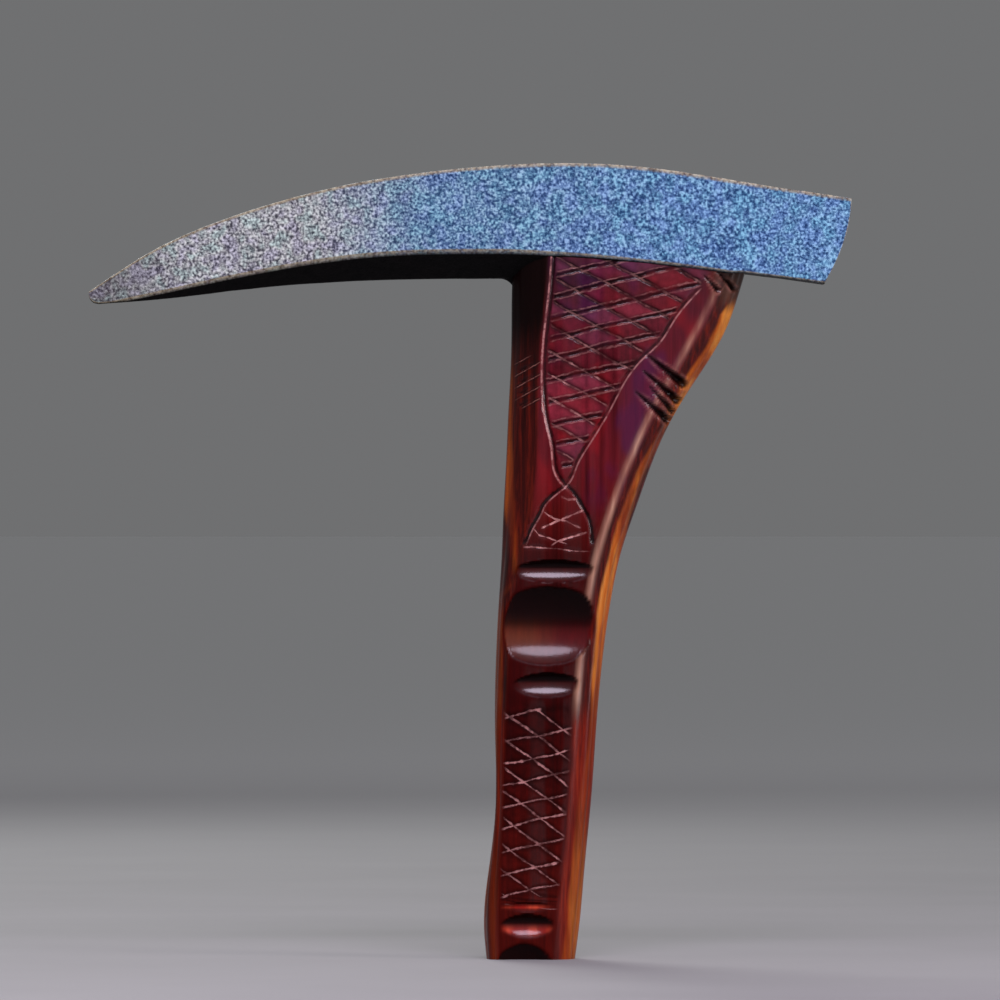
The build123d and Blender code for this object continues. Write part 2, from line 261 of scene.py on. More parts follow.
def build_head():
    top_a, top_b = eye_half_sizes(EYE_TOP_AT)
    low_a, low_b = eye_half_sizes(EYE_LOW_AT)
    tip, keel_end, hollow = TIP_CURVE[0][0], KEEL_EDGE[-1][0], LUG_FRONT - LUG_FILLET
    stations = np.concatenate((
        tip + np.array(TIP_SECTIONS),
        np.arange(EVEN_FROM, hollow, SECTION_GAP),
        np.linspace(hollow, LUG_FRONT - 0.01, 12),
        np.arange(LUG_FRONT, LUG_BACK, SECTION_GAP),
        (LUG_BACK - 0.01, LUG_BACK),
        EYE_X - top_a * np.cos(np.linspace(0, math.pi, 74)),
        np.arange(EYE_X + top_a + 0.6, POLL_TOP_X - 0.4, SECTION_GAP),
        (POLL_TOP_X - 0.25, POLL_TOP_X),
    ))
    low_x = line((
        (tip, tip),
        (keel_end, keel_end),
        (EYE_X - top_a, EYE_X - low_a),
        (EYE_X + top_a, EYE_X + low_a),
        (POLL_TOP_X, POLL_LOW[0]),
    ))(stations)

    # Each section: half width y and height z, from the top to the keel.
    s = stations[:, None]
    half_top, half_low = half_of(stations)[:, None], half_of(low_x)[:, None]
    oval = np.sqrt(np.clip(1 - ((stations - EYE_X) / top_a) ** 2, 0, None))[:, None]
    rim = np.minimum(RIM_ROUND, 0.3 * half_top)
    y_eye = top_b * oval
    y_top = y_eye + (half_top - rim - y_eye) * np.linspace(0, 1, TOP_N)[None, :]
    z_top = top_of(s) - CROWN * (y_top / np.maximum(half_top, 0.1)) ** 2
    bend = np.linspace(0, 1, RIM_N + 1)[None, 1:] * math.pi / 2
    y_rim = half_top - rim * (1 - np.sin(bend))
    z_rim = z_top[:, -1:] - rim * (1 - np.cos(bend))
    down = np.linspace(0, 1, CHEEK_N + 1)[None, 1:]
    z_first = z_rim[:, -1:]
    z_last = np.minimum(under_of(low_x[:, None], half_low) + EDGE_UP, z_first - 0.2)
    y_cheek = half_top + (half_low - half_top) * down
    z_cheek = z_first + (z_last - z_first) * down
    inwards = np.linspace(0, 1, UNDER_N + 1)[None, 1:] ** 0.9
    y_under = (half_low - EDGE_IN) + (low_b * oval - (half_low - EDGE_IN)) * inwards

    # Sections lean between the top's stations and the underside's; the poll's face is bowed.
    lean = np.concatenate((np.zeros((1, CHEEK_START)), down, np.ones((1, UNDER_N))), axis=1)
    near_end = step(POLL_TOP_X - 14, POLL_TOP_X, s)
    x = s + (low_x[:, None] - s) * lean
    x = x + POLL_BOW * near_end * 4 * lean * (1 - lean)

    # The lug hangs from the keel; its front is hollowed into the underside.
    from_hollow = np.clip(LUG_FILLET**2 - (stations - hollow) ** 2, 0, None)
    lug_z = np.where(stations < LUG_FRONT, LUG_TOP - LUG_FILLET + np.sqrt(from_hollow), LUG_LOW)
    in_lug = (stations >= hollow) & (stations < LUG_BACK)
    lug_z = np.where(in_lug, lug_z, NOWHERE)[:, None]
    z_under = under_of(x[:, -UNDER_N:], y_under)
    z_under = np.where(y_under < LUG_HALF + 0.05, np.minimum(z_under, lug_z), z_under)

    y = np.concatenate((y_top, y_rim, y_cheek, y_under), axis=1)
    z = np.concatenate((z_top, z_rim, z_cheek, z_under), axis=1)
    rows, columns = x.shape
    front = np.stack((x, -y, z), axis=-1)

    # Forged surfaces: a slow swell, fine raised scale and a nicked rim. What meets stays put.
    normal = unit(np.cross(np.gradient(front, axis=0), np.gradient(front, axis=1)), 1e-9)
    column = np.arange(columns)[None, :]
    on_cheek = (column >= CHEEK_START) & (column < CHEEK_END)
    at_middle = (column == 0) | (column == columns - 1)
    by_eye = (column < 2) | (column > columns - 3)
    free = np.where(at_middle, 0.0, 1 - np.clip(oval * 6, 0, 1) * by_eye)
    free[-2:, :] *= 0.4
    swell = 0.16 * noise_at(front, 21.0, 1) + 0.07 * noise_at(front, 7.0, 2)
    scale = noise_at(front, 1.5, 3) + 0.5 * noise_at(front, 0.9, 4)
    by_rim = np.abs(column - (CHEEK_START - 1)) < 4
    nick = np.clip(noise_at(front, 3.2, 5) - 0.15, 0, 1) * by_rim
    relief = (swell + scale * (0.05 * on_cheek + 0.03) - 0.25 * nick) * free
    front = front + normal * relief[..., None]

    # Masks for the material; the rim's is 1 along the cheek's edges.
    from_top = np.maximum(z_cheek[:, :1] + 0.1 - z, 0)
    from_top[:, :TOP_N] = np.maximum(half_top - rim - y_top, 0) + 0.12
    from_low = np.abs(z - z_cheek[:, -1:])
    closeness = np.minimum(np.minimum(from_top, from_low), np.abs(x[-1:] - x))
    whole = np.ones((rows, 1))
    masks = {
        "rim": hump(closeness, 0.17),
        "cheek": whole * ((column >= TOP_N) & (column < CHEEK_END)),
        "crown": whole * (column < TOP_N),
        "struck": whole * np.zeros(columns),
    }

    # The poll's struck face: one more ring, a little in from the edge and a little proud.
    last = front[-1]
    middle = np.array((0.0, 0.0, last[:, 2].mean()))
    ring = middle + (last - middle) * np.array(FACE_SHRINK) + np.array(FACE_PROUD)
    front = np.concatenate((front, ring[None]))
    for key, mask in masks.items():
        masks[key] = np.concatenate((mask, np.full((1, columns), float(key == "struck"))))
    rows += 1

    # The back mirrors the front; the tip's cap, the poll's face and the eye's wall join them.
    points = np.concatenate((front.reshape(-1, 3), (front * np.array((1, -1, 1))).reshape(-1, 3)))
    count = rows * columns
    faces = turned(grid_faces(rows, columns)) + grid_faces(rows, columns, start=count)
    for r in (0, rows - 1):
        a = r * columns + np.arange(columns - 1)
        cap = np.stack((a, a + 1, a + 1 + count, a + count), axis=-1).tolist()
        faces += turned(cap, r == 0)
    for r in np.flatnonzero(oval[:-1, 0] + oval[1:, 0] > EMPTY).tolist():
        for a in (r * columns, r * columns + count):
            b = a + columns
            wall = [[a, b, b + columns - 1, a + columns - 1]]
            faces += turned(wall, a < count)
    attributes = {key: np.tile(mask.ravel(), 2) for key, mask in masks.items()}
    return add_mesh("forged_head", points, faces, attributes)


# ---------------------------------------------------------------- the carving
# The two long borders, which cross between the upper panel and the bell: X at a height Z.
LEFT_BORDER = (
    (145.4, 21.2), (149.8, 21.1), (153.2, 20.5), (156.9, 18.9), (160.3, 17.0), (163.9, 14.6),
    (167.0, 11.4), (178.0, 8.0), (190.0, 5.5), (203.0, 4.5), (216.0, 5.0), (233.0, 6.9), (247.0, 8.0),
)
RIGHT_BORDER = (
    (145.4, -2.6), (152.2, 0.4), (156.0, 2.6), (159.4, 4.2), (162.8, 7.4), (166.3, 11.6),
    (173.0, 15.2), (182.0, 20.4), (193.0, 27.0), (211.4, 39.0), (215.6, 43.5), (224.6, 49.6),
    (233.6, 57.0), (247.0, 70.0),
)
BORDERS = {"left_line": (LEFT_BORDER, 250.0), "right_line": (RIGHT_BORDER, 235.0)}  # and their tops
CUT_GAP = 7.4  # the usual distance between neighbouring cuts, which the material counts in
CUT_HALF, BORDER_HALF, BORDER_DEPTH, BORDER_FOOT = 1.25, 1.35, 0.75, (144.8, 146.6)
# Families of cuts: slope in degrees, spacing, height at X = 0.
UPPER_RISING, UPPER_FALLING = (13.0, 7.3, 208.4), (-28.0, 8.6, 217.1)
LOWER_RISING, LOWER_FALLING = (12.0, 7.85, 55.2), (-36.0, 9.2, 51.6)
# Panels: low, high, left and right.
UPPER_PANEL, LOWER_PANEL = (170.0, 247.0, 2.0, 66.0), (21.0, 88.0, -12.0, 15.0)
BELL_LOW, BELL_HIGH, GRIP_PANEL_END = 139.0, 166.0, 92.0
# Each cut is made by hand: the spread of its slope, bow and height, its gap to the border, how deep.
TILT_OFF, BOW_OFF, HEIGHT_OFF, MOST_INSET, STRENGTHS = 0.02, 0.5, 0.3, 0.8, (0.8, 1.15)
LINE_N, LEAST_GAP = 70, 1.2
PAST_LAST = 0.45  # the count stops this far past the outermost cuts
# The bell's own cuts, lowest first.
BELL_RISING = (
    ((7.0, 145.2), (9.8, 147.0), (14.0, 148.2), (19.6, 149.6)),
    ((3.4, 151.0), (7.0, 152.7), (9.2, 153.9), (13.4, 155.1), (18.4, 157.2)),
)
BELL_FALLING = (
    ((-2.7, 144.8), (7.4, 143.9), (20.4, 143.0)),
    ((0.7, 150.9), (2.8, 148.4), (6.1, 147.5), (9.2, 146.3), (12.8, 145.3)),
    ((4.3, 156.9), (7.9, 154.5), (12.2, 153.6), (17.4, 151.2)),
    ((10.4, 162.4), (12.5, 161.2), (15.9, 160.9)),
)
LAST_CUT = ((-9.6, 19.4), (0.0, 18.6), (9.2, 18.2))
NICK_SLOPE, NICK_GAP = 0.55, 4.2  # of the nicks that the material draws down the left shoulder
# Notches over the shoulders, from the face to the side: two points, width and depth.
NOTCHES = (
    ((40.8, 211.6), (53.2, 201.6), 3.8, 2.1),
    ((39.4, 206.0), (51.6, 195.6), 3.4, 2.0),
    ((41.6, 200.6), (51.4, 190.2), 2.8, 1.7),
    ((36.6, 198.8), (48.4, 188.6), 3.4, 1.8),
    ((60.0, 240.2), (65.4, 234.4), 2.2, 1.3),
    ((63.4, 243.4), (71.0, 235.0), 2.2, 1.4),
    ((2.4, 209.6), (-3.8, 206.6), 1.6, 0.5),
    ((2.2, 205.6), (-3.6, 202.4), 1.6, 0.5),
    ((2.0, 201.4), (-4.0, 198.4), 1.6, 0.5),
    ((2.0, 197.4), (-4.0, 194.2), 1.6, 0.5),
)
upper_left, upper_right = line(LEFT_BORDER), line(RIGHT_BORDER)
lower_left = line(((19.0, -11.2), (57.0, -10.4), (90.0, -10.0)))
lower_right = line(((19.0, 9.6), (57.0, 13.2), (90.0, 14.4)))


def family_lines(family, panel, left_at, right_at):
    """A panel's cuts of one slope, lowest first, each a little off in slope, spacing and depth."""
    slope, spacing, phase = family
    low, high, x_left, x_right = panel
    rise = math.tan(math.radians(slope))
    spread = [(z - rise * x - phase) / spacing for z in (low, high) for x in (x_left, x_right)]
    xs = np.linspace(x_left, x_right, LINE_N)
    u = (xs - x_left) / (x_right - x_left)
    lines = []
    for k in range(math.floor(min(spread)), math.ceil(max(spread)) + 1):
        tilt, bow = rise + RNG.normal(0, TILT_OFF), RNG.normal(0, BOW_OFF)
        zs = phase + k * spacing + RNG.normal(0, HEIGHT_OFF) + tilt * xs + bow * 4 * u * (1 - u)
        inset, strength = RNG.uniform(0.0, MOST_INSET, 2), RNG.uniform(*STRENGTHS)
        across = (xs > left_at(zs) + inset[0]) & (xs < right_at(zs) - inset[1])
        keep = xs[(zs > low) & (zs < high) & across]
        if len(keep) > 2:
            lines.append((xs, zs, keep.min(), keep.max(), strength))
        else:  # outside the panel, but still counted
            lines.append((xs, zs, NOWHERE, NOWHERE, 0.0))
    return lines


def own_lines(cuts):
    """Cuts given point by point, lowest first."""
    return [(*np.array(cut).T, cut[0][0], cut[-1][0], 1.0) for cut in cuts]


def count_lines(x, z, lines):
    """Where points lie among the lines: a count that is whole on a line, strength and distance."""
    heights = np.stack([np.interp(x, xs, zs) for xs, zs, *_ in lines])
    for k in range(1, len(lines)):
        heights[k] = np.maximum(heights[k], heights[k - 1] + LEAST_GAP)
    under = (z[None] >= heights).sum(axis=0) - 1
    at, last = np.arange(len(x)), len(lines) - 1
    low, high = (heights[np.clip(under + k, 0, last), at] for k in (0, 1))
    count = under + (z - low) / np.maximum(high - low, 0.1)
    count = np.where(under < 0, -np.minimum(PAST_LAST, (low - z) / CUT_GAP), count)
    past = np.minimum(PAST_LAST, (z - heights[last]) / CUT_GAP)
    count = np.where(under >= last, last + past, count)
    nearest = np.clip(np.round(count), 0, last).astype(int)
    start, end, strength = (np.array([entry[i] for entry in lines])[nearest] for i in (2, 3, 4))
    strength = strength * step(start - 0.2, start + 0.9, x) * (1 - step(end - 0.9, end + 0.2, x))
    return count, strength, np.abs(z - heights[nearest, at])


def carving(x, z):
    """Relief of the checkering and borders, with the counts and distances their colours follow."""
    fields = {"rising": np.full(len(x), 0.5), "falling": np.full(len(x), 0.5)}
    fields.update(rising_ink=np.zeros(len(x)), falling_ink=np.zeros(len(x)))
    relief = np.zeros(len(x))
    flat = np.stack((x, z, 0 * x), -1)
    upper = [family_lines(f, UPPER_PANEL, upper_left, upper_right) for f in (UPPER_RISING, UPPER_FALLING)]
    lower = [family_lines(f, LOWER_PANEL, lower_left, lower_right) for f in (LOWER_RISING, LOWER_FALLING)]
    bell_zone = (z >= BELL_LOW) & (z < BELL_HIGH)
    # Where, rising cuts and their depth, falling cuts and theirs.
    zones = (
        (z >= BELL_HIGH, upper[0], 0.20, upper[1], 0.24),
        (bell_zone, own_lines(BELL_RISING), 0.20, own_lines(BELL_FALLING), 0.22),
        (z < GRIP_PANEL_END, lower[0], 0.16, own_lines((LAST_CUT,)) + lower[1], 0.16),
    )
    for where, rising, rising_depth, falling, falling_depth in zones:
        here = flat[where]
        for key, lines, depth, seed in (
            ("rising", rising, rising_depth, 31),
            ("falling", falling, falling_depth, 37),
        ):
            hand = 0.45 * noise_at(here, 7.0, seed)
            count, ink, apart = count_lines(x[where], z[where] + hand, lines)
            ink = ink * np.clip(0.8 + 0.9 * noise_at(here, 5.0, 41), 0.15, 1)
            fields[key][where], fields[key + "_ink"][where] = count, ink
            relief[where] = np.maximum(relief[where], groove(apart, CUT_HALF) * depth * ink)
    for key, (border, top) in BORDERS.items():
        at = spline(border)
        slope = at(z + 0.5) - at(z - 0.5)
        lean = slope / np.sqrt(1 + slope**2)
        apart = (x - at(z)) * np.sqrt(1 - lean**2)
        ink = step(*BORDER_FOOT, z) * (1 - step(top - 1.5, top + 0.5, z))
        relief = np.maximum(relief, BORDER_DEPTH * groove(np.abs(apart), BORDER_HALF) * ink)
        fields[key] = np.clip(apart, -4, 4) + np.where(ink > 0, 0, 4)
        fields[key + "_ink"] = ink
    return relief, fields


def notch_fields(xz):
    """Depth of the shoulder notches, and the raised lips along the right shoulder's."""
    depth, lip = np.zeros(xz.shape[:-1]), np.zeros(xz.shape[:-1])
    for start, end, width, deep in NOTCHES:
        a, ab = np.array(start), np.subtract(end, start)
        t = np.clip(((xz - a) @ ab) / (ab @ ab), 0, 1)
        d = np.linalg.norm(xz - (a + t[..., None] * ab), axis=-1)
        half = width / 2 * (0.45 + 0.7 * t)
        depth = np.maximum(depth, step(0, 1, 1 - d / half) * deep * (0.3 + 0.9 * t))
        if start[0] > 10:
            lip = np.maximum(lip, hump(d - half * 1.1, 0.45) * step(0.02, 0.3, t))
    return depth, lip


# ---------------------------------------------------------------- the handle
# Where the stain leaves amber showing: height, distance in from the side, half width, strength.
RIGHT_AMBER = (
    (0, 2.2, 2.6, 0.40), (18, 2.2, 2.5, 0.38), (34, 2.3, 2.4, 0.25), (50, 2.3, 2.3, 0.10),
    (62, 2.0, 2.0, 0.10), (74, 1.2, 1.2, 0.35), (86, 0.8, 1.2, 0.8), (100, 1.2, 1.9, 0.9),
    (120, 1.6, 2.4, 1.0), (140, 1.6, 2.2, 1.0), (150, 2.4, 1.7, 0.9), (160, 3.2, 1.4, 0.7),
    (170, 3.0, 1.4, 0.6), (180, 1.5, 1.2, 0.6), (188, 1.0, 1.0, 0.2), (193, 1.0, 2.0, 0.9),
    (205, 1.3, 2.7, 1.0), (226, 1.3, 2.7, 1.0), (232, 0.5, 1.0, 0.2), (250, 0.0, 0.5, 0.0),
)
LEFT_AMBER = (
    (0, 1.6, 2.0, 0.9), (20, 1.8, 2.2, 0.9), (35, 1.2, 1.6, 0.8), (45, 0.4, 0.6, 0.4),
    (60, 0.3, 0.5, 0.3), (70, 0.4, 0.8, 0.7), (90, 0.8, 1.0, 1.0), (120, 0.7, 0.9, 1.0),
    (127, 0.6, 0.8, 0.3), (134, 5.0, 1.0, 0.0), (138, 5.0, 1.2, 0.4), (148, 4.2, 1.3, 0.7),
    (154, 2.6, 1.4, 0.8), (160, 1.8, 1.8, 1.0), (170, 1.2, 1.4, 1.0), (180, 0.7, 0.9, 0.8),
    (200, 0.5, 0.8, 0.6), (214, 0.3, 0.4, 0.3), (217, 0.0, 0.3, 0.0), (250, 0.0, 0.3, 0.0),
)
# Distance between neighbouring rings at a height: least where the carving is finest.
ROW_GAPS = (
    (0, 0.62), (21, 0.62), (24, 0.56), (89, 0.56), (92, 0.58), (140, 0.58), (144, 0.50), (214, 0.50),
    (218, 0.58), (250, 0.62),
)
HANDLE_TOP = 250.0  # the rings' top before they are fitted to the head
FIT_FROM = 221.0  # rings above this height are spaced out to end against the head
UNEVEN, UNEVEN_SIZE = 0.22, 26.0  # how far the hand-shaped surface wanders, and over what length
# The section's eight corners, from the front's left crease on: how far each one's rounding
# reaches, and the columns in it and in the edge after it.
ROLL = (2.4, 4.2, 2.2, 2.2, 4.2, 2.4, 1.8, 1.8)
CORNER_N = (6, 8, 4, 4, 7, 6, 4, 4)
EDGE_N = (90, 11, 3, 5, 44, 4, 3, 10)
COLUMNS = sum(CORNER_N) + sum(EDGE_N)
FRONT_EDGE, BACK_EDGE, SHOULDERS = 0, 4, (1, 3, 5, 7)
FACE_BULGE, SHOULDER_BULGE = 0.3, 0.9
SCOOP_RIM, GOUGE_FLAT, DISH_FLAT = 0.4, 0.78, 1.15  # the gouges' lower walls are nearly flat
NOTCH_SHARE, ROUGH_DEPTH, LIP_RISE = 0.9, 0.8, 0.05
ROUGH_X, ROUGH_Z, ROUGH_WIDE, ROUGH_HIGH = 51.0, 190.5, 4.2, 5.0  # where a shoulder is chipped
TENON_LOW, TENON_TOP, TENON_ROWS, SADDLE_Z = 239.5, 279.0, 12, 240.0
ARC_N, FLAT_N = 34, 20  # points round a tenon half and along its flat side
TENON_BELOW_TOP = 0.85  # the tenon ends this far below the head's top
SHARP = 26  # degrees: bends beyond this are shaded as edges
left_of, left_crease_of, right_crease_of, right_of = (
    spline([(row[0], row[k]) for row in HANDLE_ROWS]) for k in (1, 2, 3, 4)
)


def row_heights():
    """Heights of the handle's rings."""
    gap = line(ROW_GAPS)
    heights = [0.0, 0.35]
    while heights[-1] < HANDLE_TOP:
        heights.append(min(heights[-1] + gap(heights[-1]), HANDLE_TOP))
    return np.array(heights)


def section_columns():
    """Each column's corner, whether it's in its rounding, and its share of that or of the edge."""
    columns = []
    for k, (bend_n, edge_n) in enumerate(zip(CORNER_N, EDGE_N)):
        columns += [(k, True, t) for t in np.linspace(0, 1, bend_n)]
        columns += [(k, False, t) for t in np.linspace(0, 1, edge_n + 2)[1:-1]]
    return columns


def crowded(t):
    """A share of an edge, drawn in towards its start."""
    return 0.72 * t + 0.28 * t * t


def section_points(z):
    """X and Y of the uncarved handle for an array of heights, rows by columns."""
    left, left_crease, right_crease, right = left_of(z), left_crease_of(z), right_crease_of(z), right_of(z)
    h, s = np.full_like(z, HANDLE_HALF), np.full_like(z, SIDE_LAND)
    front_half = ((left_crease, -h), (right_crease, -h), (right, -s))
    back_half = ((right, s), (right_crease, h), (left_crease, h), (left, s), (left, -s))
    corners = [np.stack(corner, -1) for corner in front_half + back_half]
    out = np.zeros(z.shape + (2,))
    for j, (k, in_bend, t) in enumerate(section_columns()):
        before, v, after = (corners[(k + i) % 8][:, j] for i in (-1, 0, 1))
        leave = v + unit(after - v) * ROLL[k]
        if in_bend:
            come = v + unit(before - v) * ROLL[k]
            out[:, j] = (1 - t) ** 2 * come + 2 * t * (1 - t) * v + t**2 * leave
            continue
        # Columns crowd towards the left crease, where the border runs.
        if k == FRONT_EDGE:
            t = crowded(t)
        elif k == BACK_EDGE:
            t = 1 - crowded(1 - t)
        arrive = after - unit(after - v) * ROLL[(k + 1) % 8]
        out[:, j] = leave + (arrive - leave) * t
        if k in SHOULDERS:
            along = after - v
            out[:, j] += unit(np.stack((along[:, 1], -along[:, 0]), -1)) * (4 * SHOULDER_BULGE * t * (1 - t))
        elif k in (FRONT_EDGE, BACK_EDGE):
            out[:, j, 1] += 4 * FACE_BULGE * t * (1 - t) * (1 if k == BACK_EDGE else -1)
    return out


def uncarved(heights):
    """The handle's rings before carving: points, rows by columns, and their outward directions."""
    z = np.repeat(heights[:, None], COLUMNS, axis=1)
    # Every column ends against the head's underside, or in the slot against the lug.
    top = np.full((1, COLUMNS), 244.0)
    for _ in range(12):
        x, y = np.moveaxis(section_points(top), -1, 0)
        target = np.where((np.abs(y) < LUG_HALF) & (x < 0), LUG_LOW, under_of(x, y))
        top = 0.5 * top + 0.5 * np.minimum(target, HANDLE_TOP)
    share = np.clip((z - FIT_FROM) / (HANDLE_TOP - FIT_FROM), 0, 1)
    z = np.where(z > FIT_FROM, FIT_FROM + share * (top - FIT_FROM), z)
    base = np.concatenate((section_points(z), z[..., None]), axis=-1)

    # Nothing a hand has shaped is quite even.
    around = np.roll(base, -1, 1) - np.roll(base, 1, 1)
    normal = unit(np.cross(around, np.gradient(base, axis=0)), 1e-9)
    calm = step(0, 8, z) * (1 - step(232, 240, z))
    return base + normal * (UNEVEN * noise_at(base, UNEVEN_SIZE, 11) * calm)[..., None], normal


def cut_scoops(x, y, z):
    """The scoops, cut straight in, front and back: new Y, and masks for the material."""
    scoop, low_side, painted_glow, brim = (np.zeros_like(x) for _ in range(4))
    side = np.where(y < 0, 1.0, -1.0)
    y = y * side
    for cx, cz, half_length, half_width, deep, lift, dark_end, painted_glow_at, red in SCOOPS:
        # A round cutter, its middle `outside` past the face, whose radius shrinks along a bow
        # towards the scoop's ends.
        outside = (half_width**2 - deep**2) / (2 * deep)
        bow = (half_length**2 + deep**2) / (2 * deep)
        dx, dz = x - cx, z - cz
        arc = deep - HANDLE_HALF - bow + np.sqrt(np.clip(bow**2 - dx**2, 0, None))
        radius = arc + HANDLE_HALF + outside
        reach = np.sqrt(np.clip(radius**2 - outside**2, 0.01, None))
        share = np.clip(dz / reach, -1.3, 1.3)
        flat = GOUGE_FLAT if half_width < 5 else DISH_FLAT
        below = (np.abs(share - lift) / (1 + lift)) ** flat
        bent = reach * np.where(share > lift, (share - lift) / (1 - lift), below)
        inside = (np.abs(dx) < half_length + 1.5) & (np.abs(bent) < radius) & (radius > 0)
        floor = -HANDLE_HALF - outside + np.sqrt(np.clip(radius**2 - bent**2, 0, None))
        # The rim is rounded over: a smooth greatest of the surface and the cut.
        over = np.where(inside, floor - y, -9.0)
        h = np.clip(0.5 + 0.5 * over / SCOOP_RIM, 0, 1)
        cut = h * over + SCOOP_RIM * h * (1 - h)
        y = y + cut
        within = np.clip(cut / 0.5, 0, 1)
        # Masks of the painted shade on the upper wall and the painted red glow on the lower wall.
        up = dz / half_width
        upper_end = step(dark_end - 0.14, dark_end + 0.14, up)
        scoop = np.maximum(scoop, within)
        brim = np.maximum(brim * (1 - within), 1 - step(0.6, 1.1, np.abs(over)))
        low_side = low_side * (1 - within) + within * (1 - upper_end)
        painted_glow = painted_glow * (1 - within) + within * red * hump(up - painted_glow_at, 0.32)
    return y * side, {"scoop": scoop, "low_side": low_side, "painted_glow": painted_glow, "brim": brim}


def sunburst(base, notch):
    """The stain's masks, amber by the sides and brown shade out to the creases, and the mask of the
    highlight painted on the right crease's roll.
    """
    x, y, z = np.moveaxis(base, -1, 0)
    drawn_out = base * np.array((1, 1, 0.2))
    wander = 0.45 * noise_at(drawn_out, 4.0, 14) + 0.2 * noise_at(drawn_out, 1.6, 15)
    amber, shade = np.zeros_like(x), np.zeros_like(x)
    # The right crease's roll is kept free of the shade, for the highlight painted there; at the left
    # the shade comes over it.
    for table, crease, edge, sign, short in (
        (RIGHT_AMBER, right_crease_of(z), right_of(z), -1, 1.6),
        (LEFT_AMBER, left_crease_of(z), left_of(z), 1, -0.6),
    ):
        inwards = sign * (x - edge)
        centre, half, strength = (line([(row[0], row[i]) for row in table])(z) for i in (1, 2, 3))
        off = np.abs(inwards + wander - centre)
        amber = np.maximum(amber, strength * (1 - step(half - 0.6, half + 0.7, off)))
        reach = np.abs(crease - edge) - short
        shade = np.maximum(shade, 1 - step(reach - 1.2, reach + 0.6, inwards + 0.6 * wander))
    # Down the grip the shade reaches in to the checkering's border.
    past_border = step(-0.8, 0.8, x - lower_right(z) - 0.6 - 0.6 * wander)
    shade = np.maximum(shade, past_border * (1 - step(80, 92, z)))
    # Where a highlight is painted along the right crease's roll, off the notches and away from the sides.
    roll = hump(x - right_crease_of(z) - 0.1 + 0.5 * wander, 1.05)
    roll = roll * (1 - np.clip(notch, 0, 1)) * (np.abs(y) > 6)
    return {"amber": amber, "shade": shade, "roll": roll}


def tenon_loops(side):
    """Rings round one half of the tenon, foot first; side is -1 at the front and 1 at the back."""
    loops = []
    for level in np.linspace(TENON_LOW, TENON_TOP, TENON_ROWS):
        a, b = (size - TENON_GAP for size in eye_half_sizes(level))
        up_wedge = (level - WEDGE_LOW) / (BLADE_TOP - WEDGE_LOW)
        kerf = (WEDGE_TIP + (WEDGE_TOP - WEDGE_TIP) * up_wedge) / 2 + 0.02
        start = math.asin(kerf / b)
        reach = a * math.sqrt(1 - (kerf / b) ** 2)
        turn = np.linspace(start, math.pi - start, ARC_N)
        arc = np.stack((EYE_X + a * np.cos(turn), side * b * np.sin(turn)), -1)
        flat_x = np.linspace(-reach, reach, FLAT_N + 2)[1:-1] + EYE_X
        loop = np.concatenate((arc, np.stack((flat_x, np.full(FLAT_N, side * kerf)), -1)))
        loops.append(np.column_stack((loop, np.minimum(level, top_of(loop[:, 0]) - TENON_BELOW_TOP))))
    return loops


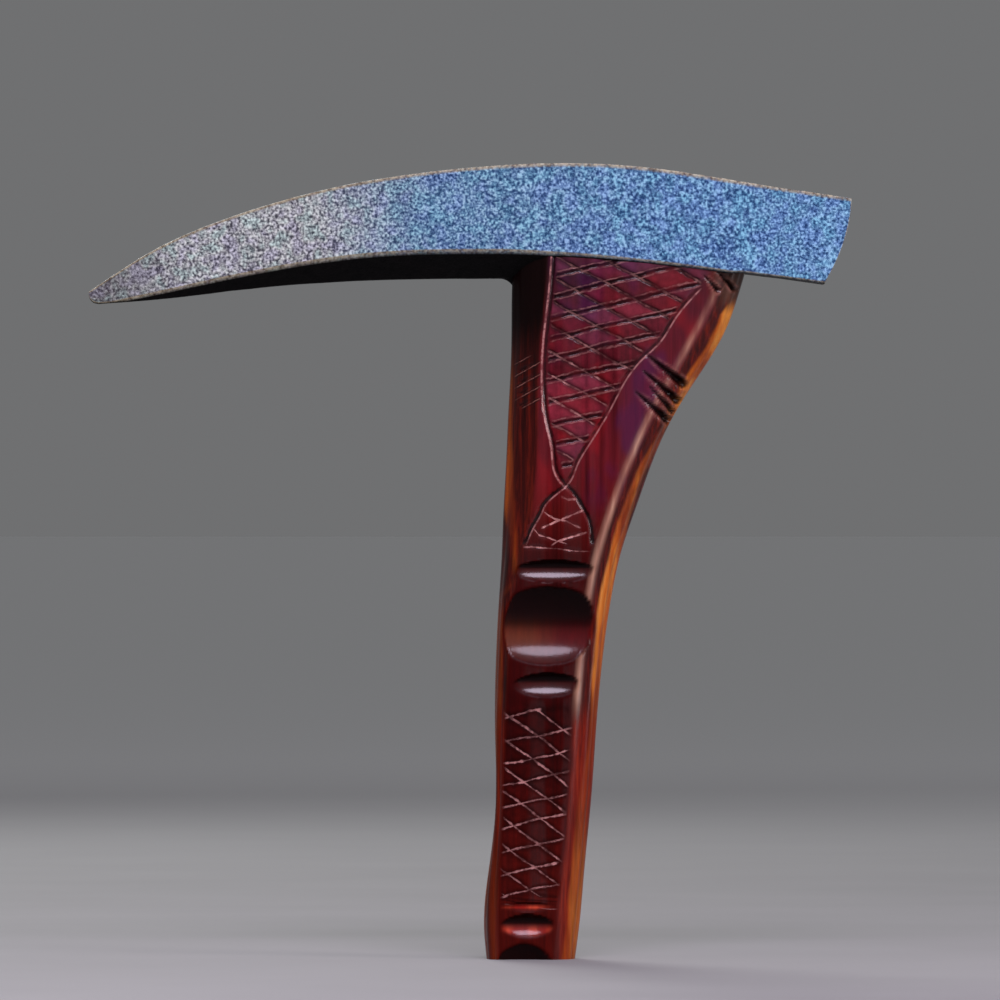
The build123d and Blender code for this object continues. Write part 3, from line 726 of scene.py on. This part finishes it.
def build_handle():
    heights = row_heights()
    rows = len(heights)
    base, normal = uncarved(heights)
    x, y, z = np.moveaxis(base, -1, 0)
    relief, fields = carving(x.ravel(), z.ravel())
    fields = {key: values.reshape(x.shape) for key, values in fields.items()}
    face = step(HANDLE_HALF - 3.2, HANDLE_HALF - 1.4, np.abs(y))
    facing = step(2.2, 4.5, np.abs(y))
    notch, lip = (field * facing for field in notch_fields(np.stack((x, z), -1)))
    # A patch of the right shoulder is chipped rough.
    rough = np.exp(-(((x - ROUGH_X) / ROUGH_WIDE) ** 2) - ((z - ROUGH_Z) / ROUGH_HIGH) ** 2) * facing
    chips = np.clip(0.4 + noise_at(base, 1.9, 12) + 0.5 * noise_at(base, 1.0, 13), 0, 1.5)

    # The panels lie a little sunken, and the upper one's diamonds fall away towards their cuts.
    in_upper = step(0.4, 1.6, x - upper_left(z)) * step(0.4, 1.6, upper_right(z) - x)
    in_upper = in_upper * step(168, 171, z) * face
    in_lower = step(0.2, 1.2, x - lower_left(z)) * step(0.2, 1.2, lower_right(z) - x)
    in_lower *= step(18, 21, z) * (1 - step(87, 91, z)) * face
    sink = 0.18 * in_upper + 0.12 * in_lower
    for key in ("rising", "falling"):
        sink += 0.1 * in_upper * np.abs(2 * (fields[key] % 1) - 1) ** 2
    inwards = relief.reshape(x.shape) * face + NOTCH_SHARE * notch + ROUGH_DEPTH * rough * chips
    carved = base - normal * (inwards + sink - LIP_RISE * lip)[..., None]
    carved[..., 1], scoop_fields = cut_scoops(carved[..., 0], carved[..., 1], z)

    off_scoops = 1 - scoop_fields["scoop"]
    for key in fields:
        if key.endswith("_ink"):
            fields[key] = fields[key] * face * off_scoops
    fields.update(scoop_fields, **sunburst(base, notch))
    fields["roll"] = fields["roll"] * off_scoops
    fields["notch"] = step(0.15, 0.7, notch)
    fields["lip"] = lip
    fields["rough"] = np.clip(rough * 1.4, 0, 1) * np.clip(chips, 0, 1)
    fields["panel"] = np.maximum(in_upper, in_lower)

    points = [carved.reshape(-1, 3)]
    faces = grid_faces(rows, COLUMNS, closed=True)
    j = np.arange(COLUMNS)
    after = (j + 1) % COLUMNS

    def add_points(new):
        """Adds points without attributes and gives the first one's number."""
        points.append(new)
        return sum(len(p) for p in points[:-1])

    # The butt is flat: a narrow ring inside its edge, then a fan to the middle.
    ring = add_points(carved[0] * np.array((0.97, 0.96, 1.0)))
    faces += np.stack((j, ring + j, ring + after, after), -1).tolist()
    hub = add_points(np.zeros((1, 3)))
    faces += [[ring + a, hub, ring + b] for a, b in zip(j.tolist(), after.tolist())]

    # The saddle under the head, from the top ring in to the tenon's foot.
    last = (rows - 1) * COLUMNS
    angle = np.arctan2(carved[-1, :, 1] / 9.0, (carved[-1, :, 0] - EYE_X) / 30.0)
    foot_a, foot_b = eye_half_sizes(SADDLE_Z)
    foot_x, foot_y = EYE_X + (foot_a - 0.4) * np.cos(angle), (foot_b - 0.3) * np.sin(angle)
    saddle = add_points(np.stack((foot_x, foot_y, under_of(foot_x, foot_y)), -1))
    faces += np.stack((last + j, last + after, saddle + after, saddle + j), -1).tolist()
    hub = add_points(np.array([[EYE_X, 0.0, SADDLE_Z + 1]]))
    faces += [[saddle + a, saddle + b, hub] for a, b in zip(j.tolist(), after.tolist())]

    # The tenon's two halves, either side of the long wedge.
    ring_n = ARC_N + FLAT_N
    for side in (-1, 1):
        loops = tenon_loops(side)
        foot = add_points(np.concatenate(loops))
        faces += turned(grid_faces(len(loops), ring_n, start=foot, closed=True), side < 0)
        for start, turn in ((foot, side > 0), (foot + (len(loops) - 1) * ring_n, side < 0)):
            # Strips from the arc to the flat, whose points run the other way.
            flat = [start + ARC_N + round((FLAT_N - 1) * (1 - i / (ARC_N - 1))) for i in range(ARC_N)]
            for i in range(ARC_N - 1):
                a, b = start + i, start + i + 1
                far = [flat[i + 1], flat[i]] if flat[i + 1] != flat[i] else [flat[i]]
                faces += turned([[a, b, *far]], turn)

    points = np.concatenate(points)
    extra = len(points) - rows * COLUMNS
    attributes = {key: np.pad(values.ravel(), (0, extra)) for key, values in fields.items()}
    return add_mesh("carved_handle", points, faces, attributes, sharp=SHARP)


# ---------------------------------------------------------------- materials
def srgb(r, g, b):
    """A linear colour, with an alpha of 1, from 0-255 display values."""
    shares = (r / 255, g / 255, b / 255)
    return (*(((c + 0.055) / 1.055) ** 2.4 if c > 0.04 else c / 12.92 for c in shares), 1)


class Nodes:
    """Short ways to lay a material's nodes.

    A value is a number, a colour or a node's output. A colour is three 0-255 display values, or
    four linear ones.
    """

    def __init__(self, name):
        self.material = bpy.data.materials.new(name)
        self.material.use_nodes = True
        self.tree = self.material.node_tree
        self.shader = self.tree.nodes["Principled BSDF"]

    def put(self, value, socket):
        """Links an output to a socket, or sets the socket."""
        if hasattr(value, "is_output"):
            self.tree.links.new(value, socket)
        elif socket.type == "RGBA" and len(value) == 3:
            socket.default_value = srgb(*value)
        else:
            socket.default_value = value

    def new(self, kind, **values):
        """A node with its properties and inputs set by name."""
        node = self.tree.nodes.new(kind)
        for key, value in values.items():
            if key in node.bl_rna.properties:
                setattr(node, key, value)
            else:
                self.put(value, node.inputs[key.replace("_", " ")])
        return node

    def place(self):
        return self.new("ShaderNodeTexCoord").outputs["Object"]

    def attribute(self, name):
        return self.new("ShaderNodeAttribute", attribute_name=name).outputs["Fac"]

    def scaled(self, vector, scale):
        return self.new("ShaderNodeMapping", Vector=vector, Scale=scale).outputs["Vector"]

    def noise(self, at, scale, detail=2.0, roughness=0.5, distortion=0.0):
        kind = "ShaderNodeTexNoise"
        shape = {"Detail": detail, "Roughness": roughness, "Distortion": distortion}
        return self.new(kind, Vector=at, Scale=scale, **shape).outputs["Fac"]

    def tones(self, value, *stops, convert=srgb):
        """Colours by value, from (position, red, green, blue) stops in 0-255 display values."""
        node = self.new("ShaderNodeValToRGB", Fac=value)
        elements = node.color_ramp.elements
        while len(elements) < len(stops):
            elements.new(0.5)
        for element, (position, *colour) in zip(elements, stops):
            element.position, element.color = position, convert(*colour)
        return node.outputs["Color"]

    def range(self, value, low, high, out_low=0.0, out_high=1.0, smooth=True):
        """The value brought from low..high to out_low..out_high, and held there outside."""
        node = self.new("ShaderNodeMapRange", Value=value)
        node.interpolation_type = "SMOOTHSTEP" if smooth else "LINEAR"
        for key, number in zip(("From Min", "From Max", "To Min", "To Max"), (low, high, out_low, out_high)):
            node.inputs[key].default_value = number
        return node.outputs["Result"]

    def linear(self, value, low, high, out_low, out_high):
        return self.range(value, low, high, out_low, out_high, smooth=False)

    def math(self, operation, *values):
        node = self.new("ShaderNodeMath", operation=operation)
        for value, socket in zip(values, node.inputs):
            self.put(value, socket)
        return node.outputs[0]

    def chain(self, operation, first, *rest):
        return self.math(operation, first, self.chain(operation, *rest)) if rest else first

    def plus(self, *values):
        return self.chain("ADD", *values)

    def minus(self, a, b):
        return self.math("SUBTRACT", a, b)

    def times(self, *values):
        return self.chain("MULTIPLY", *values)

    def greatest(self, *values):
        return self.chain("MAXIMUM", *values)

    def less(self, value):
        """What is left of 1."""
        return self.minus(1.0, value)

    def far_from(self, value, middle):
        return self.math("ABSOLUTE", self.minus(value, middle))

    def sway(self, value, amount):
        """A noise value turned into a shift to either side."""
        return self.times(self.minus(value, 0.5), amount)

    def mix(self, share, a, b, blend="MIX"):
        node = self.new("ShaderNodeMix", data_type="RGBA", blend_type=blend)
        for value, socket in zip((share, a, b), [s for s in node.inputs if s.enabled]):
            self.put(value, socket)
        return next(s for s in node.outputs if s.enabled)

    def layers(self, base, *layers):
        """Colours laid over a base one after another, each by its share."""
        for share, colour in layers:
            base = self.mix(share, base, colour)
        return base

    def lit(self, colour, factor):
        """A colour made lighter or darker by a factor."""
        return self.new("ShaderNodeVectorMath", operation="SCALE", Vector=colour, Scale=factor).outputs[0]

    def bump(self, height, strength, distance):
        return self.new("ShaderNodeBump", Height=height, Strength=strength, Distance=distance).outputs[0]

    def finish(self, colour, roughness, **sockets):
        """Sets the shader's sockets by name."""
        self.put(colour, self.shader.inputs["Base Color"])
        self.put(roughness, self.shader.inputs["Roughness"])
        for key, value in sockets.items():
            self.put(value, self.shader.inputs[key.replace("_", " ")])
        return self.material


def forged_steel():
    n = Nodes("forged_steel")
    at = n.place()
    x = n.new("ShaderNodeSeparateXYZ", Vector=at).outputs["X"]
    struck = n.attribute("struck")
    # Blotches a millimetre across, cut fairly hard, over slower drifts of tone and hue.
    speckle = n.plus(n.noise(at, 1080.0, 2.2), n.sway(n.noise(at, 130.0), 0.10))
    blue = n.tones(
        speckle, (0.34, 26, 55, 87), (0.46, 71, 103, 131), (0.54, 96, 130, 153), (0.66, 140, 177, 193)
    )
    grey = n.tones(
        speckle, (0.34, 56, 58, 63), (0.46, 121, 125, 124), (0.54, 149, 156, 151), (0.66, 195, 203, 195)
    )
    hue = n.tones(n.noise(at, 210.0, 1.0), (0.35, 228, 218, 255), (0.5, 255, 255, 255), (0.65, 216, 255, 250))
    # The steel turns from grey at the pick to blue behind, along an uneven border.
    edge_of_blue = n.plus(x, n.sway(n.noise(at, 45.0), 0.030))
    face = n.mix(n.range(edge_of_blue, -0.082, -0.026), grey, blue)
    face = n.mix(n.range(x, -0.02, 0.06), face, n.mix(1.0, face, (0.84, 0.96, 1.06, 1), "MULTIPLY"))
    # The point is handled most and has dulled.
    face = n.mix(n.range(x, -0.116, -0.152, 0.0, 0.56), face, (56, 50, 50))
    face = n.mix(0.5, face, hue, "MULTIPLY")
    # The underside is nearly black and the top dusty; the rim is paler, partly wear and partly a painted
    # edge highlight.
    black = n.tones(n.noise(at, 420.0, 3.0), (0.35, 1, 1, 1), (0.7, 7, 6, 6))
    top = n.mix(n.range(n.noise(at, 90.0, 3.0), 0.35, 0.65, 0.25, 0.6), face, (58, 58, 62))
    wear_and_rim_highlight = n.tones(n.noise(at, 700.0), (0.35, 82, 66, 40), (0.62, 154, 146, 118))
    colour = n.mix(n.attribute("cheek"), n.mix(n.attribute("crown"), black, top), face)
    colour = n.mix(n.times(n.attribute("rim"), 0.85), colour, wear_and_rim_highlight)
    # The poll's face is bare metal, dented by blows.
    dents = n.noise(at, 300.0, 4.0, 0.6)
    bright = n.tones(dents, (0.35, 64, 64, 68), (0.52, 110, 110, 114), (0.68, 158, 158, 158))
    return n.finish(
        n.mix(struck, colour, bright),
        n.range(speckle, 0.35, 0.65, 0.62, 0.45),
        Metallic=n.plus(0.1, n.times(struck, 0.6)),
        Normal=n.bump(n.mix(struck, speckle, dents), 0.3, 0.0005),
        Specular_IOR_Level=0.10,
    )


def cut_distance(n, key, waver):
    """Millimetres from the nearest cut of a family, from the count carried by the mesh."""
    between = n.math("FRACT", n.plus(n.attribute(key), 0.5))
    return n.plus(n.times(n.far_from(between, 0.5), CUT_GAP), waver)


def lacquered_hardwood():
    n = Nodes("lacquered_hardwood")
    times, less, greatest, attribute = n.times, n.less, n.greatest, n.attribute
    at = n.place()
    split = n.new("ShaderNodeSeparateXYZ", Vector=at)
    x, z = split.outputs["X"], split.outputs["Z"]
    panel, shade, scoop, low_side, painted_glow = map(attribute, ("panel", "shade", "scoop", "low_side", "painted_glow"))
    notch, rough, lip, roll = map(attribute, ("notch", "rough", "lip", "roll"))
    grain = n.noise(n.scaled(at, (1.0, 1.0, 0.06)), 620.0, 4.0, 0.6, 0.4)
    streak = n.noise(n.scaled(at, (1.0, 1.0, 0.09)), 170.0, 3.0, 0.55)
    patch = n.noise(n.scaled(at, (1.0, 1.0, 0.5)), 60.0)
    above_grip = n.range(z, 0.150, 0.175)
    upper = n.range(z, 0.164, 0.168)  # the upper panel, above the borders' crossing
    high = n.range(z, 0.200, 0.226)
    tenon_end = n.range(z, 0.2585, 0.2600)

    # The face's red from the butt to the head, with purple and crimson patches above the grip.
    tone = n.tones(
        n.linear(z, 0.0, 0.250, 0.0, 1.0),
        (0.00, 66, 10, 6), (0.34, 42, 3, 3), (0.44, 48, 5, 5), (0.56, 46, 5, 5), (0.63, 74, 11, 10),
        (0.70, 80, 16, 22), (0.86, 74, 16, 25), (0.94, 56, 18, 27), (1.00, 32, 10, 13),
    )
    face = n.layers(
        n.lit(tone, n.linear(grain, 0.28, 0.72, 0.70, 1.32)),
        (times(n.range(patch, 0.48, 0.36, 0.0, 0.55), above_grip), (56, 19, 54)),
        (times(n.range(patch, 0.54, 0.66, 0.0, 0.55), above_grip), (118, 18, 24)),
    )

    # Each diamond was cut by hand; it is painted its own brightness and tint, standing in for facets
    # that catch the light differently, and painted shade darkens it towards its cuts, under a mottle.
    column, row = n.math("FLOOR", attribute("rising")), n.math("FLOOR", attribute("falling"))
    cell = n.new("ShaderNodeCombineXYZ", X=column, Y=row).outputs[0]
    own = n.new("ShaderNodeTexWhiteNoise", noise_dimensions="2D", Vector=cell)
    own_hue = n.new("ShaderNodeSeparateColor", Color=own.outputs["Color"])
    from_cut = n.math("MINIMUM", cut_distance(n, "rising", 0.0), cut_distance(n, "falling", 0.0))
    painted_facet_tone = n.linear(own.outputs["Value"], 0, 1, 0.70, 1.15)
    facet_light_and_mottle = times(painted_facet_tone, n.range(from_cut, 0.3, 2.2, 0.58, 1.12))
    facet_light_and_mottle = times(facet_light_and_mottle, n.linear(n.noise(at, 330.0, 3.0, 0.6), 0.3, 0.7, 0.78, 1.22))
    grey_facet_light_and_mottle = n.new("ShaderNodeCombineXYZ", X=facet_light_and_mottle, Y=facet_light_and_mottle, Z=facet_light_and_mottle).outputs[0]
    face = n.mix(panel, face, n.lit(face, facet_light_and_mottle))
    tints = (("Red", 0.45, 0.45, (84, 40, 56)), ("Green", 0.55, 0.40, (112, 24, 30)))
    for channel, low, share, tint in tints:
        tinted = n.mix(1.0, tint, grey_facet_light_and_mottle, "MULTIPLY")
        chosen = n.range(own_hue.outputs[channel], low, 0.95)
        face = n.mix(times(chosen, panel, above_grip, share), face, tinted)
    # A painted highlight lies along the raised crease at the right, where it would catch the light.
    painted_crease_highlight = n.tones(streak, (0.35, 122, 78, 66), (0.5, 158, 114, 94), (0.65, 194, 154, 126))
    crease = times(roll, n.range(z, 0.080, 0.096))
    face = n.mix(times(crease, n.range(z, 0.215, 0.185, 0.40, 0.70)), face, painted_crease_highlight)

    # Towards the sides the stain is brown, redder down the grip, and leaves amber showing.
    brown = n.tones(grain, (0.3, 30, 2, 2), (0.5, 56, 8, 5), (0.7, 92, 20, 8))
    red_brown = n.tones(grain, (0.3, 66, 9, 4), (0.5, 94, 19, 8), (0.7, 118, 33, 12))
    brown = n.mix(n.range(z, 0.092, 0.080), brown, red_brown)
    amber = n.tones(streak, (0.33, 118, 44, 10), (0.5, 150, 72, 16), (0.66, 186, 116, 42))
    red_amber = n.tones(streak, (0.33, 76, 16, 4), (0.5, 104, 34, 6), (0.66, 150, 70, 16))
    amber = n.lit(n.mix(n.range(x, 0.004, -0.004), amber, red_amber), n.linear(grain, 0.3, 0.7, 0.8, 1.2))
    # Painted shade under the head: the sides turn black there, further down at the pick's side, and
    # the top corners by the poll are painted dark.
    pick_side = n.range(x, 0.022, 0.004)
    painted_shade_under_head = times(shade, n.range(n.plus(z, n.sway(streak, 0.02)), 0.198, 0.226))
    painted_side_corner_shade = times(shade, n.range(z, 0.226, 0.236), less(pick_side))
    painted_face_corner_shade = times(times(n.range(x, 0.058, 0.066), n.range(z, 0.226, 0.238)), 0.85)
    # Painted shade darkens the scoops' upper walls, and a painted red glow lies on their lower walls.
    across = n.range(n.plus(x, n.sway(patch, 0.02)), 0.002, 0.011)
    dish = n.mix(across, (84, 38, 22), (72, 8, 12))
    ember = n.mix(n.range(streak, 0.4, 0.6), (126, 24, 16), (172, 62, 40))
    red = n.lit(n.mix(n.range(z, 0.05, 0.08), ember, dish), n.linear(grain, 0.3, 0.7, 0.85, 1.15))
    colour = n.layers(
        face,
        (shade, brown),
        (attribute("amber"), amber),
        # Painted shade under the head, in the corners by the poll and in the scoops' upper walls; then the
        # scoops' painted red glow.
        (times(painted_shade_under_head, pick_side), (10, 1, 1)),
        (painted_side_corner_shade, n.tones(streak, (0.35, 24, 8, 6), (0.7, 84, 50, 34))),
        (times(scoop, less(low_side), 0.92), (8, 1, 1)),
        (painted_glow, red),
        (painted_face_corner_shade, n.tones(streak, (0.35, 20, 9, 8), (0.7, 70, 44, 34))),
    )

    # Cut lines: the upper panel's rising cuts are dark, the others have worn pale.
    waver = n.sway(n.noise(at, 520.0, 3.0), 1.1)
    wear = n.range(n.noise(at, 420.0, 2.0, 0.6), 0.36, 0.58, 0.25, 1.0)
    worn_off = n.range(n.noise(at, 140.0, 2.0, 0.6), 0.40, 0.60, 0.25, 1.0)
    rising, falling = cut_distance(n, "rising", waver), cut_distance(n, "falling", waver)
    left, right = attribute("left_line"), attribute("right_line")
    rising_ink, falling_ink = attribute("rising_ink"), attribute("falling_ink")
    left_ink, right_ink = attribute("left_line_ink"), attribute("right_line_ink")
    left_apart = n.plus(n.far_from(left, 0.15), waver)
    right_apart = n.plus(n.math("ABSOLUTE", right), waver)
    dark = greatest(
        times(n.range(rising, 0.75, 0.25), rising_ink, upper, 0.90),
        times(n.range(falling, 0.95, 0.45), falling_ink, upper, n.range(high, 0, 1, 0.45, 0.85)),
        times(n.range(left_apart, 0.80, 0.30), left_ink, less(upper), 0.92),
        times(n.range(left_apart, 0.70, 0.20), left_ink, 0.75),
        times(n.range(right_apart, 0.80, 0.30), right_ink, less(upper), 0.92),
        times(n.range(right_apart, 0.65, 0.20), right_ink, worn_off, 0.75),
    )
    patchy = times(greatest(worn_off, less(upper)), n.range(high, 0, 1, 0.80, 0.30))
    pale = greatest(
        times(n.range(falling, 0.44, 0.12), falling_ink, wear, patchy),
        times(n.range(rising, 0.44, 0.12), rising_ink, wear, less(upper)),
        times(n.range(n.far_from(rising, 1.0), 0.40, 0.10), rising_ink, wear, upper, 0.30),
        times(n.range(n.far_from(left, -0.85), 0.45, 0.15), left_ink, wear, upper, 0.55),
        times(n.range(n.far_from(right, 0.85), 0.40, 0.12), right_ink, wear, 0.50),
    )
    # Shallow nicks down the left shoulder, NICK_GAP apart, each with a pale lip.
    nick = n.math("DIVIDE", n.minus(z, times(x, NICK_SLOPE)), NICK_GAP * MM)
    nick = n.plus(n.minus(nick, 0.893), times(waver, 0.12))
    nick = times(n.far_from(n.math("FRACT", nick), 0.5), NICK_GAP)
    where = times(
        n.range(z, 0.1925, 0.1945),
        n.range(z, 0.2120, 0.2100),
        n.range(x, 0.0040, 0.0022),
        n.range(x, -0.0062, -0.0048),
        wear,
    )
    # Where a blade has been the wood is bare, and so is the tenon's end, which shows its grain.
    chips = n.noise(at, 620.0, 3.0, 0.6)
    rings = n.noise(n.scaled(at, (1.0, 2.6, 0.4)), 640.0, 3.0, 0.6)
    colour = n.layers(
        colour,
        (dark, (16, 3, 4)),
        (pale, n.mix(n.range(z, 0.095, 0.140), (160, 112, 108), (178, 126, 120))),
        (times(n.range(nick, 0.95, 0.45), where, 0.7), (14, 3, 3)),
        (times(n.range(nick, 0.30, 0.08), where, 0.55), (150, 96, 84)),
        (times(rough, 0.9), n.tones(chips, (0.38, 26, 10, 6), (0.55, 84, 44, 22), (0.68, 158, 104, 60))),
        (times(notch, 0.95), (10, 3, 3)),
        (times(lip, wear, 0.22), (176, 118, 108)),
        (tenon_end, n.tones(rings, (0.34, 78, 44, 24), (0.5, 128, 80, 46), (0.68, 170, 120, 76))),
    )

    # The lacquer is a coat: full on the face, and thin or worn dull in these places.
    bared = greatest(notch, rough, times(lip, 0.9), times(pale, 0.5), tenon_end)
    dull = greatest(
        times(bared, 0.85),
        times(n.range(from_cut, 1.7, 0.7), panel, 0.65),
        attribute("brim"),
        times(shade, n.range(z, 0.094, 0.080, 0.30, 0.60)),
        times(scoop, less(low_side), 0.75),
        times(scoop, n.range(z, 0.101, 0.104), n.range(z, 0.130, 0.127), 0.30),
        times(painted_shade_under_head, pick_side, 0.65),
        times(roll, n.range(z, 0.096, 0.080), 0.6),
        times(painted_glow, n.range(z, 0.08, 0.05), 0.5),
    )
    height = n.minus(times(grain, 0.16), n.plus(times(dark, 0.4), times(pale, 0.3)))
    normal = n.bump(height, 0.5, 0.0004)
    return n.finish(
        colour,
        n.plus(times(pale, 0.25), n.range(grain, 0.3, 0.7, 0.46, 0.36)),
        Normal=normal,
        Coat_Normal=normal,
        Coat_Weight=less(dull),
        Coat_Roughness=0.15,
        Coat_IOR=1.33,
        Specular_IOR_Level=0.04,
    )


def wedge_wood():
    n = Nodes("wedge_wood")
    at = n.place()
    rings = n.noise(n.scaled(at, (0.25, 2.0, 1.0)), 700.0, 4.0, 0.6)
    pores = n.range(n.noise(at, 2600.0, 1.0), 0.60, 0.70, 0.0, 0.6)
    colour = n.tones(rings, (0.3, 120, 78, 40), (0.5, 172, 124, 74), (0.7, 204, 160, 104))
    colour = n.mix(pores, colour, (70, 42, 20))
    return n.finish(colour, 0.62, Normal=n.bump(rings, 0.3, 0.0004), Specular_IOR_Level=0.35)


def wedge_steel():
    n = Nodes("wedge_steel")
    at = n.place()
    dents = n.noise(at, 900.0, 3.0, 0.6)
    rust = n.range(n.noise(at, 420.0, 3.0, 0.6), 0.55, 0.70, 0.0, 0.7)
    colour = n.mix(rust, n.tones(dents, (0.3, 70, 70, 72), (0.7, 150, 150, 150)), (92, 56, 36))
    roughness = n.range(dents, 0.3, 0.7, 0.38, 0.6)
    return n.finish(colour, roughness, Normal=n.bump(dents, 0.5, 0.0005), Metallic=0.9)


def pale_floor():
    """Painted paler with distance, standing in for the light that the far floor misses from the lamps,
    so that it meets the air without a line.
    """
    n = Nodes("pale_floor")
    at = n.place()
    away = n.new("ShaderNodeVectorMath", operation="LENGTH", Vector=at).outputs["Value"]
    grey = lambda level: (level, level, level, 1)
    near = n.tones(n.noise(at, 9.0, 3.0), (0.3, 0.165), (0.7, 0.177), convert=grey)
    return n.finish(n.mix(n.range(away, 0.6, 3.2), near, (0.385, 0.385, 0.39, 1)), 0.75)


# ---------------------------------------------------------------- the scene
# The camera comes first: a long level lens, square to the axe's front.
VIEW_WIDTH = 350.0  # millimetres across the picture at the axe's front face
VIEW_CENTRE = (-10.9, 161.0)  # X and Z in the middle of the picture
CAMERA_AWAY = 4000.0
SENSOR = 36.0
camera = bpy.data.objects.new("camera", bpy.data.cameras.new("camera"))
bpy.context.scene.collection.objects.link(camera)
camera.location = (VIEW_CENTRE[0] * MM, -CAMERA_AWAY * MM, VIEW_CENTRE[1] * MM)
camera.rotation_euler = (math.radians(90), 0, 0)
camera.data.sensor_width = SENSOR
camera.data.lens = SENSOR * (CAMERA_AWAY - HEAD_HALF) / VIEW_WIDTH
camera.data.clip_end = 50.0
bpy.context.scene.camera = camera

head = build_head()
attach(head, "root")
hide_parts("head")
head.data.materials.append(forged_steel())

handle = build_handle()
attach(handle, "root")
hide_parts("handle")
handle.data.materials.append(lacquered_hardwood())

carried = {
    "wooden_wedge": wedge_wood(),
    "cross_wedge_pick_side": wedge_steel(),
    "cross_wedge_poll_side": wedge_steel(),
}
for node, material in carried.items():
    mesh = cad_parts[node].data
    mesh.materials.clear()
    mesh.materials.append(material)

FLOOR_REACH = 60
corners = [(x * FLOOR_REACH, y * FLOOR_REACH, 0) for x, y in ((-1, -1), (1, -1), (1, 1), (-1, 1))]
floor = bpy.data.objects.new("floor", bpy.data.meshes.new("floor"))
floor.data.from_pydata(corners, [], [(0, 1, 2, 3)])
floor.data.materials.append(pale_floor())
bpy.context.scene.collection.objects.link(floor)
floor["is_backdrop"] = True

# Soft lights, all aimed at the axe's middle: place, width and height, power and colour.
MIDDLE = Vector((0.0, 0.0, 0.15))
LIGHTS = {
    "key_above": ((0.10, -1.04, 1.24), (1.1, 0.56), 28.5, (0.92, 0.80, 1.0)),
    "side_right": ((1.20, -0.62, 0.45), (0.5, 1.3), 13.0, (1.0, 0.92, 0.96)),
    "behind": ((-0.50, 1.30, 1.10), (0.85, 0.58), 15.0, (1.0, 1.0, 1.0)),
}
for name, (location, size, power, colour) in LIGHTS.items():
    data = bpy.data.lights.new(name, "AREA")
    data.energy, data.color = power, colour
    data.shape, data.size, data.size_y = "ELLIPSE", *size
    lamp = bpy.data.objects.new(name, data)
    bpy.context.scene.collection.objects.link(lamp)
    lamp.location = location
    lamp.rotation_euler = (MIDDLE - Vector(location)).to_track_quat("-Z", "Y").to_euler()

# A dim studio: the air is as bright as the far floor at the horizon, and brighter overhead.
world = bpy.data.worlds.new("world")
bpy.context.scene.world = world
world.use_nodes = True
sky = world.node_tree
direction = sky.nodes.new("ShaderNodeTexCoord").outputs["Generated"]
height = sky.nodes.new("ShaderNodeSeparateXYZ")
sky.links.new(direction, height.inputs["Vector"])
fade = sky.nodes.new("ShaderNodeValToRGB")
sky.links.new(height.outputs["Z"], fade.inputs["Fac"])
for element, (position, level) in zip(fade.color_ramp.elements, ((0.05, 0.16), (0.9, 0.48))):
    element.position, element.color = position, (level, level * 1.01, level * 1.03, 1)
sky.links.new(fade.outputs["Color"], sky.nodes["Background"].inputs["Color"])
bpy.context.scene.view_settings.view_transform = "Standard"

plain = lambda box: [[float(v) for v in corner] for corner in box]
{"cad": plain(cad_box), "visual": plain(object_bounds())}
